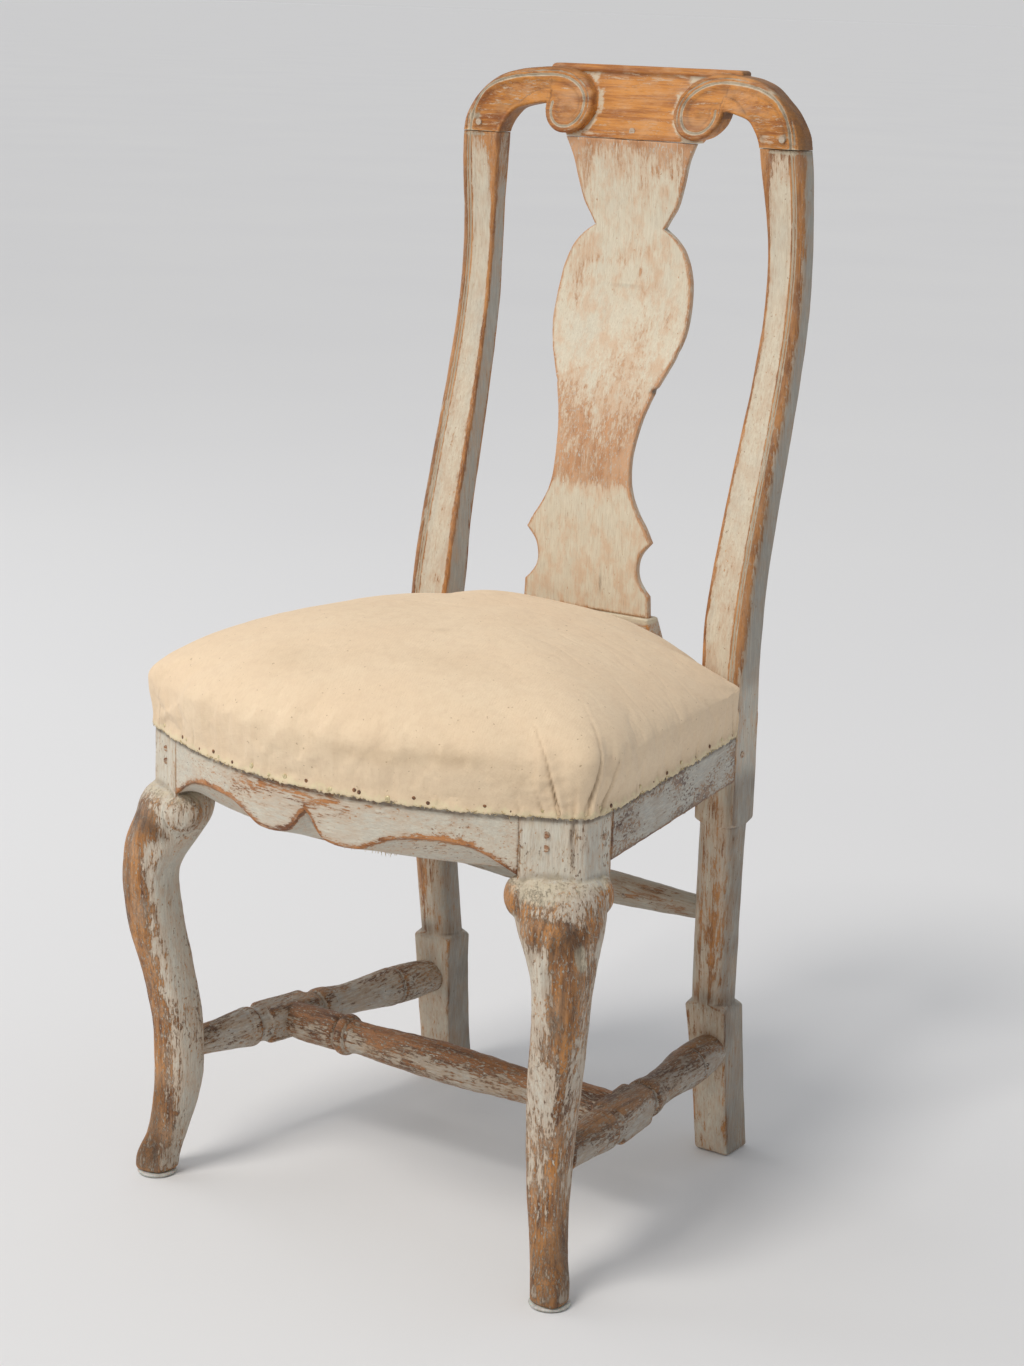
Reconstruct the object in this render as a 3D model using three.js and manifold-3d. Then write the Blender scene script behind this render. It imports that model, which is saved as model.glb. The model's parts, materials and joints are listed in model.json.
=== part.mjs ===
// Painted wooden side chair with a vase-shaped back splat, a scrolled crest rail and a padded seat.
// Millimetres, +X to the viewer's right, +Y to the back, +Z up, standing on Z = 0.
// Every piece is drawn with Y = 0 on the line between the two joints of the front rail;
// the last lines move the whole chair so that the origin lies under the middle of its box.

import * as THREE from "three";
import { mergeVertices } from "three/addons/utils/BufferGeometryUtils.js";
import Module from "manifold-3d";

const wasm = await Module();
wasm.setup();

// Driving dimensions of the frame
const OVERALL_HEIGHT = 1057;
const CREST_RISE = 69; // height of the crest rail
const RAIL_TOP = 462; // top of all four seat rails
const RAIL_HEIGHT = 63; // of the side and rear rails
const BLOCK_DROP = 8; // the front leg's square block reaches this far below them
const FRONT_OUTER_HALF = 243; // centre line to the outer side of the front leg block
const BLOCK_WIDTH = 51; // from that side to the joint of the front rail and the block
const BACK_OUTER_HALF = 197; // centre line to the outer side of the back post
const POST_FRONT = 357; // front face of the back post at seat level
const POST_DEPTH = 41;
const POST_WIDTH = 43;
const RAIL_BOTTOM = RAIL_TOP - RAIL_HEIGHT;
const BLOCK_BOTTOM = RAIL_BOTTOM - BLOCK_DROP; // the front leg's knee starts here
const FRONT_JOINT_HALF = FRONT_OUTER_HALF - BLOCK_WIDTH;
const CREST_BOTTOM = OVERALL_HEIGHT - CREST_RISE;
const POST_TOP = CREST_BOTTOM; // the posts end under the crest rail

// Clearances and joints
const JOINT_GAP = 0.3; // between pieces that touch
const OVERRUN = 4; // how far a cutter runs past the face that it opens
const TENON_THICKNESS = 10;
const TENON_LENGTH = 24;
const TENON_SHOULDER = 9; // wood left above and below a rail's tenon
const ROUND_TENON_RADIUS = 8;
const ROUND_TENON_LENGTH = 20;
const PEG_RADIUS = 3.2;
const PEG_PROUD = 0.6;
const PEG_SIDES = 10;

// Front rail
const FRONT_RAIL_THICKNESS = 30;
const FRONT_BOW = 50; // how far the middle of the rail stands in front of its joints
const APRON_REACH = 33; // highest point of the carved lower edge above the rail's bottom
const FRONT_RAIL_STEPS = 48;
const FRONT_TENON_SET_BACK = 18; // its face behind the joint line, inside the canted block
const FRONT_TENON_LENGTH = 28;
// Half of the carved lower edge: [share of the half length, share of the reach]
const APRON_NOTCH_SHARES = [[0, 1], [0.03, 0.84], [0.06, 0.58], [0.1, 0.34], [0.16, 0.23], [0.22, 0.2]];
const APRON_ARCH_SHARES = [
  [0.22, 0.2], [0.3, 0.25], [0.38, 0.47], [0.48, 0.68], [0.6, 0.76], [0.72, 0.76], [0.82, 0.64],
  [0.9, 0.4], [0.96, 0.17], [1, 0.02],
];

// Side and rear rails
const SIDE_RAIL_THICKNESS = 26;
const REAR_RAIL_SET_BACK = 11; // its face behind the front of the posts
const REAR_RAIL_FRONT = POST_FRONT + REAR_RAIL_SET_BACK;
const REAR_RAIL_THICKNESS = 29;

// Front legs
const BLOCK_BACK = 68;
const BLOCK_CORNER_Y = 26; // the outer front corner lies this far behind the joint line
const BLOCK_CORNER_RADIUS = 15;
const LEG_CENTRE_INSET = 26.4; // the leg's diagonal plane passes this far inside the block's outer side
const LEG_CENTRE_X = FRONT_OUTER_HALF - LEG_CENTRE_INSET;
const LEG_CENTRE_Y = 30;
const LEG_SWEEP = 24; // how far the knee stands out along the diagonal
const LEG_THICKNESS = 54; // along the diagonal, at the knee
const LEG_KNEE_WIDTH = 96; // across the diagonal, at the ears
const LEG_STEPS = 22;
const LEG_SECTION_POINTS = 16;
const LEG_ROUNDNESS = 1.45; // 1 is a diamond, 2 an ellipse
// [share of the knee height, share of the sweep, share of the thickness, share of the knee width]
const LEG_SHARES = [
  [0, 0.8, 0.74, 0.37], [0.05, 0.71, 0.78, 0.37], [0.11, 0.35, 0.73, 0.36], [0.19, 0.05, 0.81, 0.38],
  [0.27, -0.1, 0.88, 0.42], [0.4, -0.03, 0.9, 0.47], [0.52, 0.31, 0.93, 0.515], [0.65, 0.8, 1, 0.53],
  [0.745, 1, 0.99, 0.56], [0.8, 0.98, 1.02, 0.62], [0.87, 0.56, 1.26, 0.78], [0.93, 0.1, 1.33, 0.88],
  [1, -0.1, 1.3, 0.9],
];
const EAR_RADIUS = 15;
const EAR_DROP = 17; // below the block
const EAR_FRONT = 7; // centre of the front ear behind the joint line
const EAR_INSET = 3; // centre of an ear inside the face that it stands on
const EAR_SIDES = 12;
const GLIDE_RADIUS = 19;
const GLIDE_THICKNESS = 4;
const GLIDE_PIN_RADIUS = 1.5;
const GLIDE_PIN_LENGTH = 12;
const GLIDE_SIDES = 24;

// Back posts
const POST_BLOCK_DROP = 42; // the square part that takes the rails reaches this far below them
const POST_BLOCK_BOTTOM = RAIL_BOTTOM - POST_BLOCK_DROP;
const POST_FOOT_SHARE = 0.462; // of that height is the square foot part
const POST_FOOT_TOP = POST_BLOCK_BOTTOM * POST_FOOT_SHARE;
const POST_CHAMFER = 6; // height of the sloping shoulders at both ends of the eight-sided part
const POST_EDGE = 2.5;
const SHAFT_TOP_SIZE = 45;
const SHAFT_BOTTOM_SIZE = 43;
const SHAFT_EDGE_SHARE = 0.29; // the corner cut that makes a square an even octagon
const FOOT_TOP_WIDTH = 46;
const FOOT_TOP_DEPTH = 38;
const FOOT_WIDTH = 38;
const FOOT_DEPTH = 40;
const FOOT_INSET = 8; // the foot stands this far inside the seat block
const FOOT_RAKE = 38.5; // how far the foot's front lies behind the post's front
const SHIN_RAKE = 16; // the same at the top of the foot part
const BACK_RAKE = 80; // how far the back leans behind the seat block
const POST_TOP_RAKE_SHARE = 0.92; // it curves forward again to this share of the rake
const POST_STEPS = 18;
const SHAFT_STEPS = 4;
// Back part: [height share, rake share, depth share, inner width share]
const POST_SHARES = [
  [0, 0, 1, 1], [0.1, 0.04, 0.9, 1.04], [0.16, 0.085, 0.86, 1.08], [0.26, 0.22, 0.75, 1.06],
  [0.37, 0.41, 0.7, 1.03], [0.49, 0.63, 0.66, 0.985], [0.6, 0.82, 0.61, 0.93], [0.7, 0.95, 0.57, 0.9],
  [0.8, 1, 0.52, 0.91], [0.9, 0.965, 0.5, 0.985], [1, POST_TOP_RAKE_SHARE, 0.5, 1.08],
];
const POST_WIDEST_SHARE = 1.08; // its greatest width, as the rows above have it
const POST_TOP_INSET = 3; // the post's outer side draws in this far at its top
const POST_INSET_START_SHARE = 0.88;

// Crest rail
const CREST_HALF = BACK_OUTER_HALF - POST_TOP_INSET;
const ARM_PROUD = 3.1; // its face in front of the posts' tops
const ARM_FRONT = POST_FRONT + BACK_RAKE * POST_TOP_RAKE_SHARE - ARM_PROUD;
const ARM_DEPTH = 24;
const ARM_LEAN_SHARE = 0.37; // rise of the volutes' face towards the back, for its height
const LEAN_FULL_HALF = 100; // the arms lean fully inside this half width
const LEAN_NONE_HALF = 168; // and not at all outside this one
const VOLUTE_SHARE = 0.379; // its centre, as a share of the half width
const VOLUTE_X = CREST_HALF * VOLUTE_SHARE;
const VOLUTE_RISE = 30.5; // its centre above the posts' tops
const VOLUTE_Z = CREST_BOTTOM + VOLUTE_RISE;
const VOLUTE_RADIUS = 27.3;
const VOLUTE_STEPS = 14;
const ARM_STEPS = 12;
const UNDERSIDE_STEPS = 8;
const TABLET_TOP_HALF = 108;
const TABLET_BOTTOM_HALF = 74;
const TABLET_DEPTH = 15;
const TABLET_SET_BACK = 10; // its face behind the face of the volutes
const LIP_HEIGHT = 6;
const LIP_PROUD = 3;
const LIP_HALF = 109;
// [share of the half width, share of the rise]
const ARM_TOP_SHARES = [
  [1, 0], [0.988, 0.18], [0.957, 0.36], [0.902, 0.56], [0.8, 0.785], [0.69, 0.89], [0.583, 0.93],
  [0.49, 0.945], [0.4, 0.915], [0.31, 0.8], [0.255, 0.62],
];
const ARM_UNDERSIDE_SHARES = [
  [0.535, 0.445], [0.593, 0.415], [0.675, 0.35], [0.722, 0.22], [0.75, 0.09], [0.761, 0],
];

// Back splat and its shoe
const SHOE_HEIGHT = 72.5;
const SPLAT_BOTTOM = RAIL_TOP + SHOE_HEIGHT;
const SPLAT_THICKNESS = 10;
const SPLAT_BELLY_HALF = 77;
const SPLAT_SET_BACK = 31; // the face of its foot behind the front of the posts
const SPLAT_FRONT = POST_FRONT + SPLAT_SET_BACK;
const SPLAT_RAKE_SHARE = 0.675; // of the back's rake
const SPLAT_RAKE = BACK_RAKE * SPLAT_RAKE_SHARE;
const SPLAT_TENON_HALF = 46;
const SPLAT_TENON_THICKNESS = 6;
const SPLAT_TENON_LENGTH = 16;
const SPLAT_STEPS = 34;
const SPLAT_NECK_SHARE = 0.817; // height shares of the corners of its outline
const SPLAT_TIP_SHARE = 0.162;
const SPLAT_BASE_SHARE = 0.045;
// [height share, share of the belly's half width]
const SPLAT_BASE_SHARES = [[0, 0.95], [0.045, 0.937]];
const SPLAT_COVE_SHARES = [[0.045, 0.937], [0.06, 0.85], [0.08, 0.772], [0.108, 0.753], [0.135, 0.8], [0.162, 0.937]];
const SPLAT_BELLY_SHARES = [
  [0.162, 0.937], [0.19, 0.845], [0.22, 0.725], [0.255, 0.625], [0.29, 0.575], [0.345, 0.565],
  [0.41, 0.615], [0.455, 0.685], [0.49, 0.76], [0.52, 0.835], [0.555, 0.92], [0.6, 0.99], [0.64, 1],
  [0.68, 0.985], [0.725, 0.94], [0.77, 0.83], [0.797, 0.69], [0.817, 0.517],
];
const SPLAT_TOP_SHARES = [[0.817, 0.517], [0.835, 0.58], [0.865, 0.69], [0.91, 0.775], [0.96, 0.85], [1, 0.955]];
// [height share, share of the rake]
const SPLAT_RAKE_SHARES = [
  [0, 0], [0.16, 0], [0.27, 0.02], [0.33, 0.06], [0.39, 0.17], [0.46, 0.33], [0.53, 0.53], [0.6, 0.73],
  [0.68, 0.9], [0.76, 0.98], [0.83, 1], [0.9, 0.97], [1, 0.9],
];
const SHOE_TOP_HALF = 75;
const SHOE_BOTTOM_HALF = 112;
const SHOE_PROUD = 4; // in front of the splat
const SHOE_FLARE = 4; // its foot in front of its top
const SHOE_LAP = 6; // behind the splat
const SHOE_FRONT = SPLAT_FRONT - SHOE_PROUD;
const SHOE_BOTTOM_FRONT = SHOE_FRONT - SHOE_FLARE;
const SHOE_BACK = SPLAT_FRONT + SPLAT_THICKNESS + SHOE_LAP;
const SHOE_STEPS = 6;

// Stretchers
const SIDE_STRETCHER_FRONT_SHARE = 0.322; // height of its axis as a share of the front leg's
const SIDE_STRETCHER_REAR_SHARE = 0.685; // and as a share of the back post's square foot part
const SIDE_STRETCHER_FRONT_Z = BLOCK_BOTTOM * SIDE_STRETCHER_FRONT_SHARE;
const SIDE_STRETCHER_REAR_Z = POST_FOOT_TOP * SIDE_STRETCHER_REAR_SHARE;
const FRONT_STRETCHER_OFFSET = 5; // its axis outside the middle of the leg
const REAR_STRETCHER_OFFSET = 1; // and outside the middle of the foot
const STRETCHER_BLOCK_SIZE = 36;
const STRETCHER_BLOCK_LENGTH = 70;
const STRETCHER_BLOCK_SHARE = 0.387; // middle of the block along the side stretcher
const TURNED_SIDES = 20;
const SIDE_STRETCHER_RADIUS = 20; // at its ring
// [share of the length, share of the radius]
const SIDE_TURNING_SHARES = [
  [0, 0.7], [0.09, 0.72], [0.17, 0.84], [0.22, 0.93], [0.25, 0.99], [0.265, 0.97], [0.275, 0.86],
  [0.29, 0.88], [0.485, 0.88], [0.495, 0.84], [0.51, 0.95], [0.535, 0.94], [0.57, 0.84], [0.62, 0.8],
  [0.69, 0.86], [0.76, 0.97], [0.795, 1], [0.8, 0.96], [0.81, 1], [0.87, 0.98], [0.92, 0.91], [1, 0.8],
];
const CROSS_STRETCHER_RADIUS = 20;
const CROSS_TURNING_SHARES = [
  [0, 0.88], [0.045, 0.88], [0.1, 0.92], [0.17, 0.92], [0.184, 0.84], [0.193, 1], [0.208, 1],
  [0.22, 0.86], [0.235, 0.79], [0.3, 0.83], [0.4, 0.92], [0.5, 0.96],
];
const REAR_STRETCHER_SHARE = 0.479; // of the way up the posts' eight-sided part
const REAR_STRETCHER_Z = mix(POST_FOOT_TOP, POST_BLOCK_BOTTOM, REAR_STRETCHER_SHARE);
const REAR_STRETCHER_RADIUS = 17;
const REAR_TURNING_SHARES = [[0, 0.64], [0.1, 0.71], [0.3, 0.92], [0.5, 1]];

// Seat upholstery
const STRAP_THICKNESS = 1.5;
const STRAP_WIDTH = 50;
const STRAP_INSET = 9; // strap end inside the rail's outer face
const STRAP_SPACING_SHARE = 0.51; // of the half width between the front rail's joints
// Middle of each crossway strap, as a share of the way from the leg blocks to the posts
const CROSS_STRAP_SHARES = [["front", 0.152], ["middle", 0.45], ["rear", 0.747]];
const HESSIAN_THICKNESS = 1.5;
const HESSIAN_INSET = 8;
const MUSLIN_THICKNESS = 1.2;
const MUSLIN_LAP = 16; // how far it comes down the rails' outer faces
const MUSLIN_EDGE = RAIL_TOP - MUSLIN_LAP;
const CUSHION_BACK_GAP = 3; // in front of the shoe's foot
const CUSHION_BACK = SHOE_BOTTOM_FRONT - CUSHION_BACK_GAP;
const CUSHION_SIDE_RISE = 30; // height of the upright sides above the rails
const CUSHION_SIDE_TOP = RAIL_TOP + CUSHION_SIDE_RISE;
const CUSHION_SHOULDER_RISE = 30; // from there to the rounded shoulder
const CUSHION_SHOULDER = CUSHION_SIDE_TOP + CUSHION_SHOULDER_RISE;
const CUSHION_CROWN_RISE = 42; // from the shoulder to the top of the crown
const CUSHION_CREST = CUSHION_SHOULDER + CUSHION_CROWN_RISE;
const CUSHION_BACK_RISE = 14; // the shoulder stands higher in the middle of the back
const CUSHION_POST_DROP = 26; // and it falls this much towards the outer corner at the post
const CUSHION_BULGE = 4; // how far the sides swell over the rails they are drawn in to
const POST_INNER_SHARE = 0.78; // of the half width at the back, where that fall begins
const SHOULDER_INSET_SHARE = 0.12; // of the way to the seat's middle
const SHOULDER_DROP_SHARE = 1.2; // the shoulder is thicker than the sides by this much
const PAD_CLEARANCE = 0.95;
// Rows from the upright side to the shoulder: [share of that inset, height share]
const SHOULDER_SHARES = [[0, 0], [0.05, 0.35], [0.2, 0.64], [0.5, 0.87], [1, 1]];
// Rows from the shoulder to the middle: how far out, as a share
const CROWN_SHARES = [0.86, 0.7, 0.5, 0.26];
const CROWN_POWER = 2.4;
const BOTTOM_CLOTH_THICKNESS = 1;
const BOTTOM_CLOTH_INSET = 5;

// Plain helpers

// A smooth value between hand-chosen rows: rows are sorted by their first entry.
function between(rows, at, column = 1) {
  const last = rows.length - 1;
  if (at <= rows[0][0]) return rows[0][column];
  if (at >= rows[last][0]) return rows[last][column];
  let i = 0;
  while (at > rows[i + 1][0]) i += 1;
  const slope = (a, b) => (rows[b][column] - rows[a][column]) / (rows[b][0] - rows[a][0]);
  const step = rows[i + 1][0] - rows[i][0];
  const t = (at - rows[i][0]) / step;
  const startSlope = slope(Math.max(i - 1, 0), i + 1);
  const endSlope = slope(i, Math.min(i + 2, last));
  const start = rows[i][column];
  const end = rows[i + 1][column];
  const rise = end - start;
  return start + step * startSlope * t
    + (3 * rise - step * (2 * startSlope + endSlope)) * t * t
    + (step * (startSlope + endSlope) - 2 * rise) * t * t * t;
}

function mix(a, b, share) {
  return a + (b - a) * share;
}

function evenShares(steps) {
  return Array.from({ length: steps + 1 }, (_, i) => i / steps);
}

// A closed manifold solid from a three.js geometry, turned outside out where a mirror turned it in.
function solidFrom(geometry) {
  const plain = geometry.index ? geometry.toNonIndexed() : geometry.clone();
  plain.deleteAttribute("normal");
  plain.deleteAttribute("uv");
  const merged = mergeVertices(plain, 1e-4);
  const triVerts = new Uint32Array(merged.index.array);
  const vertProperties = merged.attributes.position.array;
  const build = () => new wasm.Manifold(new wasm.Mesh({ numProp: 3, vertProperties, triVerts }));
  const solid = build();
  if (solid.volume() >= 0) return solid;
  for (let i = 0; i < triVerts.length; i += 3) {
    [triVerts[i + 1], triVerts[i + 2]] = [triVerts[i + 2], triVerts[i + 1]];
  }
  return build();
}

function geometryFrom(solid) {
  const mesh = solid.getMesh();
  const positions = new Float32Array(mesh.numVert * 3);
  for (let i = 0; i < mesh.numVert; i += 1) {
    positions.set(mesh.vertProperties.subarray(i * mesh.numProp, i * mesh.numProp + 3), i * 3);
  }
  const geometry = new THREE.BufferGeometry();
  geometry.setAttribute("position", new THREE.BufferAttribute(positions, 3));
  geometry.setIndex(new THREE.BufferAttribute(new Uint32Array(mesh.triVerts), 1));
  return geometry;
}

function joined(first, ...others) {
  return others.reduce((sum, other) => sum.add(other), first);
}

function cut(first, ...others) {
  return others.reduce((rest, other) => rest.subtract(other), first);
}

function mirrored(solid) {
  return solidFrom(geometryFrom(solid).scale(-1, 1, 1));
}

// A closed skin over rings of points with the same count; open ends are closed to their middle.
function loft(rings) {
  const count = rings[0].length;
  const positions = rings.flat().flatMap((p) => [p.x, p.y, p.z]);
  const index = [];
  for (let r = 0; r + 1 < rings.length; r += 1) {
    for (let i = 0; i < count; i += 1) {
      const a = r * count + i;
      const b = r * count + (i + 1) % count;
      index.push(a, b, b + count, a, b + count, a + count);
    }
  }
  const cap = (ring, start, flip) => {
    const middle = ring.reduce((sum, p) => sum.add(p), new THREE.Vector3()).divideScalar(count);
    const centre = positions.length / 3;
    positions.push(middle.x, middle.y, middle.z);
    for (let i = 0; i < count; i += 1) {
      const pair = [start + i, start + (i + 1) % count];
      index.push(centre, ...(flip ? pair.reverse() : pair));
    }
  };
  cap(rings[0], 0, true);
  cap(rings[rings.length - 1], (rings.length - 1) * count, false);
  const geometry = new THREE.BufferGeometry();
  geometry.setAttribute("position", new THREE.Float32BufferAttribute(positions, 3));
  geometry.setIndex(index);
  return solidFrom(geometry);
}

function box(x0, x1, y0, y1, z0, z1) {
  const geometry = new THREE.BoxGeometry(x1 - x0, y1 - y0, z1 - z0);
  return solidFrom(geometry.translate((x0 + x1) / 2, (y0 + y1) / 2, (z0 + z1) / 2));
}

// An upright prism over a plan outline of [x, y] points.
function plate(points, z0, z1) {
  const shape = new THREE.Shape(points.map(([x, y]) => new THREE.Vector2(x, y)));
  const geometry = new THREE.ExtrudeGeometry(shape, { depth: z1 - z0, bevelEnabled: false });
  return solidFrom(geometry.translate(0, 0, z0));
}

// A body turned about the line from start to end; rows give its radius at distances from start.
function turned(start, end, rows, sides) {
  const profile = [new THREE.Vector2(0, rows[0][0])];
  rows.forEach(([along, radius]) => profile.push(new THREE.Vector2(radius, along)));
  profile.push(new THREE.Vector2(0, rows[rows.length - 1][0]));
  const direction = end.clone().sub(start).normalize();
  const turn = new THREE.Quaternion().setFromUnitVectors(new THREE.Vector3(0, 1, 0), direction);
  const geometry = new THREE.LatheGeometry(profile, sides);
  return solidFrom(geometry.applyQuaternion(turn).translate(start.x, start.y, start.z));
}

// A rectangle with cut corners at one height, eight points.
function cutRectangle(x0, x1, y0, y1, z, edge) {
  const corners = [
    [x0 + edge, y0], [x1 - edge, y0], [x1, y0 + edge], [x1, y1 - edge],
    [x1 - edge, y1], [x0 + edge, y1], [x0, y1 - edge], [x0, y0 + edge],
  ];
  return corners.map(([x, y]) => new THREE.Vector3(x, y, z));
}

// Places that several pieces share

const BLOCK_CORNER = new THREE.Vector2(FRONT_OUTER_HALF, BLOCK_CORNER_Y);

function frontRailOuter(x) {
  return -FRONT_BOW * (1 - (x / FRONT_JOINT_HALF) ** 2);
}

function sideRailOuter(y) {
  return mix(FRONT_OUTER_HALF, BACK_OUTER_HALF, (y - BLOCK_BACK) / (POST_FRONT - BLOCK_BACK));
}

// The leg's diagonal plane: a point a given way along it and across it.
function onDiagonal(along, across, z) {
  const half = Math.SQRT1_2;
  return new THREE.Vector3(
    LEG_CENTRE_X + half * (along + across), LEG_CENTRE_Y - half * (along - across), z,
  );
}

function legCentre(z) {
  return onDiagonal(LEG_SWEEP * between(LEG_SHARES, z / BLOCK_BOTTOM), 0, z);
}

// Section of the back post at a height: its four sides and how much its corners are cut.
function postSection(z) {
  const inner = BACK_OUTER_HALF - POST_WIDTH;
  const back = POST_FRONT + POST_DEPTH;
  if (z >= RAIL_TOP) {
    const share = (z - RAIL_TOP) / (POST_TOP - RAIL_TOP);
    const front = POST_FRONT + BACK_RAKE * between(POST_SHARES, share);
    const drawIn = Math.max(0, (share - POST_INSET_START_SHARE) / (1 - POST_INSET_START_SHARE));
    return {
      inner: BACK_OUTER_HALF - POST_WIDTH * between(POST_SHARES, share, 3),
      outer: BACK_OUTER_HALF - POST_TOP_INSET * drawIn ** 2,
      front,
      back: front + POST_DEPTH * between(POST_SHARES, share, 2),
      edge: POST_EDGE,
    };
  }
  if (z >= POST_BLOCK_BOTTOM) return { inner, outer: BACK_OUTER_HALF, front: POST_FRONT, back, edge: POST_EDGE };
  if (z > POST_FOOT_TOP) {
    const share = (POST_BLOCK_BOTTOM - z) / (POST_BLOCK_BOTTOM - POST_FOOT_TOP);
    const size = mix(SHAFT_TOP_SIZE, SHAFT_BOTTOM_SIZE, share);
    const x = mix((inner + BACK_OUTER_HALF) / 2, footCentreX(1), share);
    const y = mix((POST_FRONT + back) / 2, POST_FRONT + SHIN_RAKE + FOOT_TOP_DEPTH / 2, share ** 1.3);
    return {
      inner: x - size / 2, outer: x + size / 2, front: y - size / 2, back: y + size / 2,
      edge: size * SHAFT_EDGE_SHARE,
    };
  }
  const share = z / POST_FOOT_TOP;
  const width = mix(FOOT_WIDTH, FOOT_TOP_WIDTH, share ** 2);
  const front = POST_FRONT + mix(FOOT_RAKE, SHIN_RAKE, share ** 0.85);
  return {
    inner: BACK_OUTER_HALF - FOOT_INSET - width,
    outer: BACK_OUTER_HALF - FOOT_INSET,
    front,
    back: front + mix(FOOT_DEPTH, FOOT_TOP_DEPTH, share ** 0.5),
    edge: POST_EDGE,
  };
}

function footCentreX(share) {
  return BACK_OUTER_HALF - FOOT_INSET - mix(FOOT_WIDTH, FOOT_TOP_WIDTH, share) / 2;
}

function postCentre(z) {
  const s = postSection(z);
  return new THREE.Vector3((s.inner + s.outer) / 2, (s.front + s.back) / 2, z);
}

function splatFront(z) {
  const share = (z - SPLAT_BOTTOM) / (CREST_BOTTOM - SPLAT_BOTTOM);
  return SPLAT_FRONT + SPLAT_RAKE * between(SPLAT_RAKE_SHARES, share);
}

function armLean(x, z) {
  const share = THREE.MathUtils.clamp((LEAN_NONE_HALF - Math.abs(x)) / (LEAN_NONE_HALF - LEAN_FULL_HALF), 0, 1);
  return ARM_LEAN_SHARE * share * (z - CREST_BOTTOM);
}

// Tenons: each function gives the tenon, or with a gap the mortise that takes it.

const TENON_LOW = RAIL_BOTTOM + TENON_SHOULDER;
const TENON_HIGH = RAIL_TOP - TENON_SHOULDER;

function frontRailTenon(gap = 0) {
  const y = FRONT_TENON_SET_BACK;
  return box(
    FRONT_JOINT_HALF - OVERRUN, FRONT_JOINT_HALF + FRONT_TENON_LENGTH + gap,
    y - gap, y + TENON_THICKNESS + gap, TENON_LOW - gap, TENON_HIGH + gap,
  );
}

// Plan outline of a strip along the side rail, a given way inside its outer face.
function alongSideRail(insetOuter, insetInner, y0, y1) {
  return [
    [sideRailOuter(y0) - insetInner, y0], [sideRailOuter(y0) - insetOuter, y0],
    [sideRailOuter(y1) - insetOuter, y1], [sideRailOuter(y1) - insetInner, y1],
  ];
}

function sideRailTenons(gap = 0) {
  const inset = (SIDE_RAIL_THICKNESS - TENON_THICKNESS) / 2;
  const strip = alongSideRail(
    inset - gap, inset + TENON_THICKNESS + gap,
    BLOCK_BACK - TENON_LENGTH - gap, POST_FRONT + TENON_LENGTH + gap,
  );
  return plate(strip, TENON_LOW - gap, TENON_HIGH + gap);
}

function rearRailTenon(gap = 0) {
  const back = REAR_RAIL_FRONT + REAR_RAIL_THICKNESS - TENON_THICKNESS / 2;
  const inner = BACK_OUTER_HALF - POST_WIDTH;
  return box(
    inner - OVERRUN, inner + TENON_LENGTH + gap,
    back - TENON_THICKNESS - gap, back + gap, TENON_LOW - gap, TENON_HIGH + gap,
  );
}

function crestTenon(gap = 0) {
  const s = postSection(POST_TOP);
  const x = (s.inner + s.outer) / 2;
  const y = (s.front + s.back) / 2;
  const half = TENON_THICKNESS / 2 + gap;
  return box(x - 2 * half, x + 2 * half, y - half, y + half, POST_TOP - OVERRUN, POST_TOP + TENON_LENGTH * 0.75 + gap);
}

function splatTenonTop(gap = 0) {
  const y = splatFront(CREST_BOTTOM) + SPLAT_THICKNESS / 2;
  const half = SPLAT_TENON_THICKNESS / 2 + gap;
  return box(
    -SPLAT_TENON_HALF - gap, SPLAT_TENON_HALF + gap, y - half, y + half,
    CREST_BOTTOM - OVERRUN, CREST_BOTTOM + SPLAT_TENON_LENGTH + gap,
  );
}

function splatTenonFoot(gap = 0) {
  const y = SPLAT_FRONT + SPLAT_THICKNESS / 2;
  const half = SPLAT_TENON_THICKNESS / 2 + gap;
  return box(
    -SPLAT_TENON_HALF - gap, SPLAT_TENON_HALF + gap, y - half, y + half,
    SPLAT_BOTTOM - SPLAT_TENON_LENGTH - gap, SPLAT_BOTTOM + OVERRUN,
  );
}

// Stretcher lines, from the middle of one carrier to the middle of the other

const SIDE_STRETCHER_START = movedOut(legCentre(SIDE_STRETCHER_FRONT_Z), FRONT_STRETCHER_OFFSET);
const SIDE_STRETCHER_END = movedOut(postCentre(SIDE_STRETCHER_REAR_Z), REAR_STRETCHER_OFFSET);

function movedOut(point, distance) {
  return point.setX(point.x + distance);
}

function alongSideStretcher(share) {
  return SIDE_STRETCHER_START.clone().lerp(SIDE_STRETCHER_END, share);
}

const CROSS_STRETCHER_END = alongSideStretcher(STRETCHER_BLOCK_SHARE);
const REAR_STRETCHER_END = postCentre(REAR_STRETCHER_Z);

// Shoulder line of the side stretcher: where the turned part meets the leg and the foot.
const SIDE_STRETCHER_LENGTH = SIDE_STRETCHER_START.distanceTo(SIDE_STRETCHER_END);
const FRONT_SEAT_SHARE = LEG_THICKNESS * 0.36 / SIDE_STRETCHER_LENGTH;
const REAR_SEAT_SHARE = 1 - FOOT_TOP_DEPTH * 0.5 / SIDE_STRETCHER_LENGTH;

// A round tenon, or with a gap its hole, about a point and along a direction.
function roundTenon(at, direction, gap = 0) {
  const start = at.clone().addScaledVector(direction, -ROUND_TENON_LENGTH - gap);
  const end = at.clone().addScaledVector(direction, ROUND_TENON_LENGTH);
  const length = start.distanceTo(end);
  return turned(start, end, [[0, ROUND_TENON_RADIUS + gap], [length, ROUND_TENON_RADIUS + gap]], TURNED_SIDES);
}

// Pegs: a point on the face, the direction into the wood and the depth.

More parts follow.
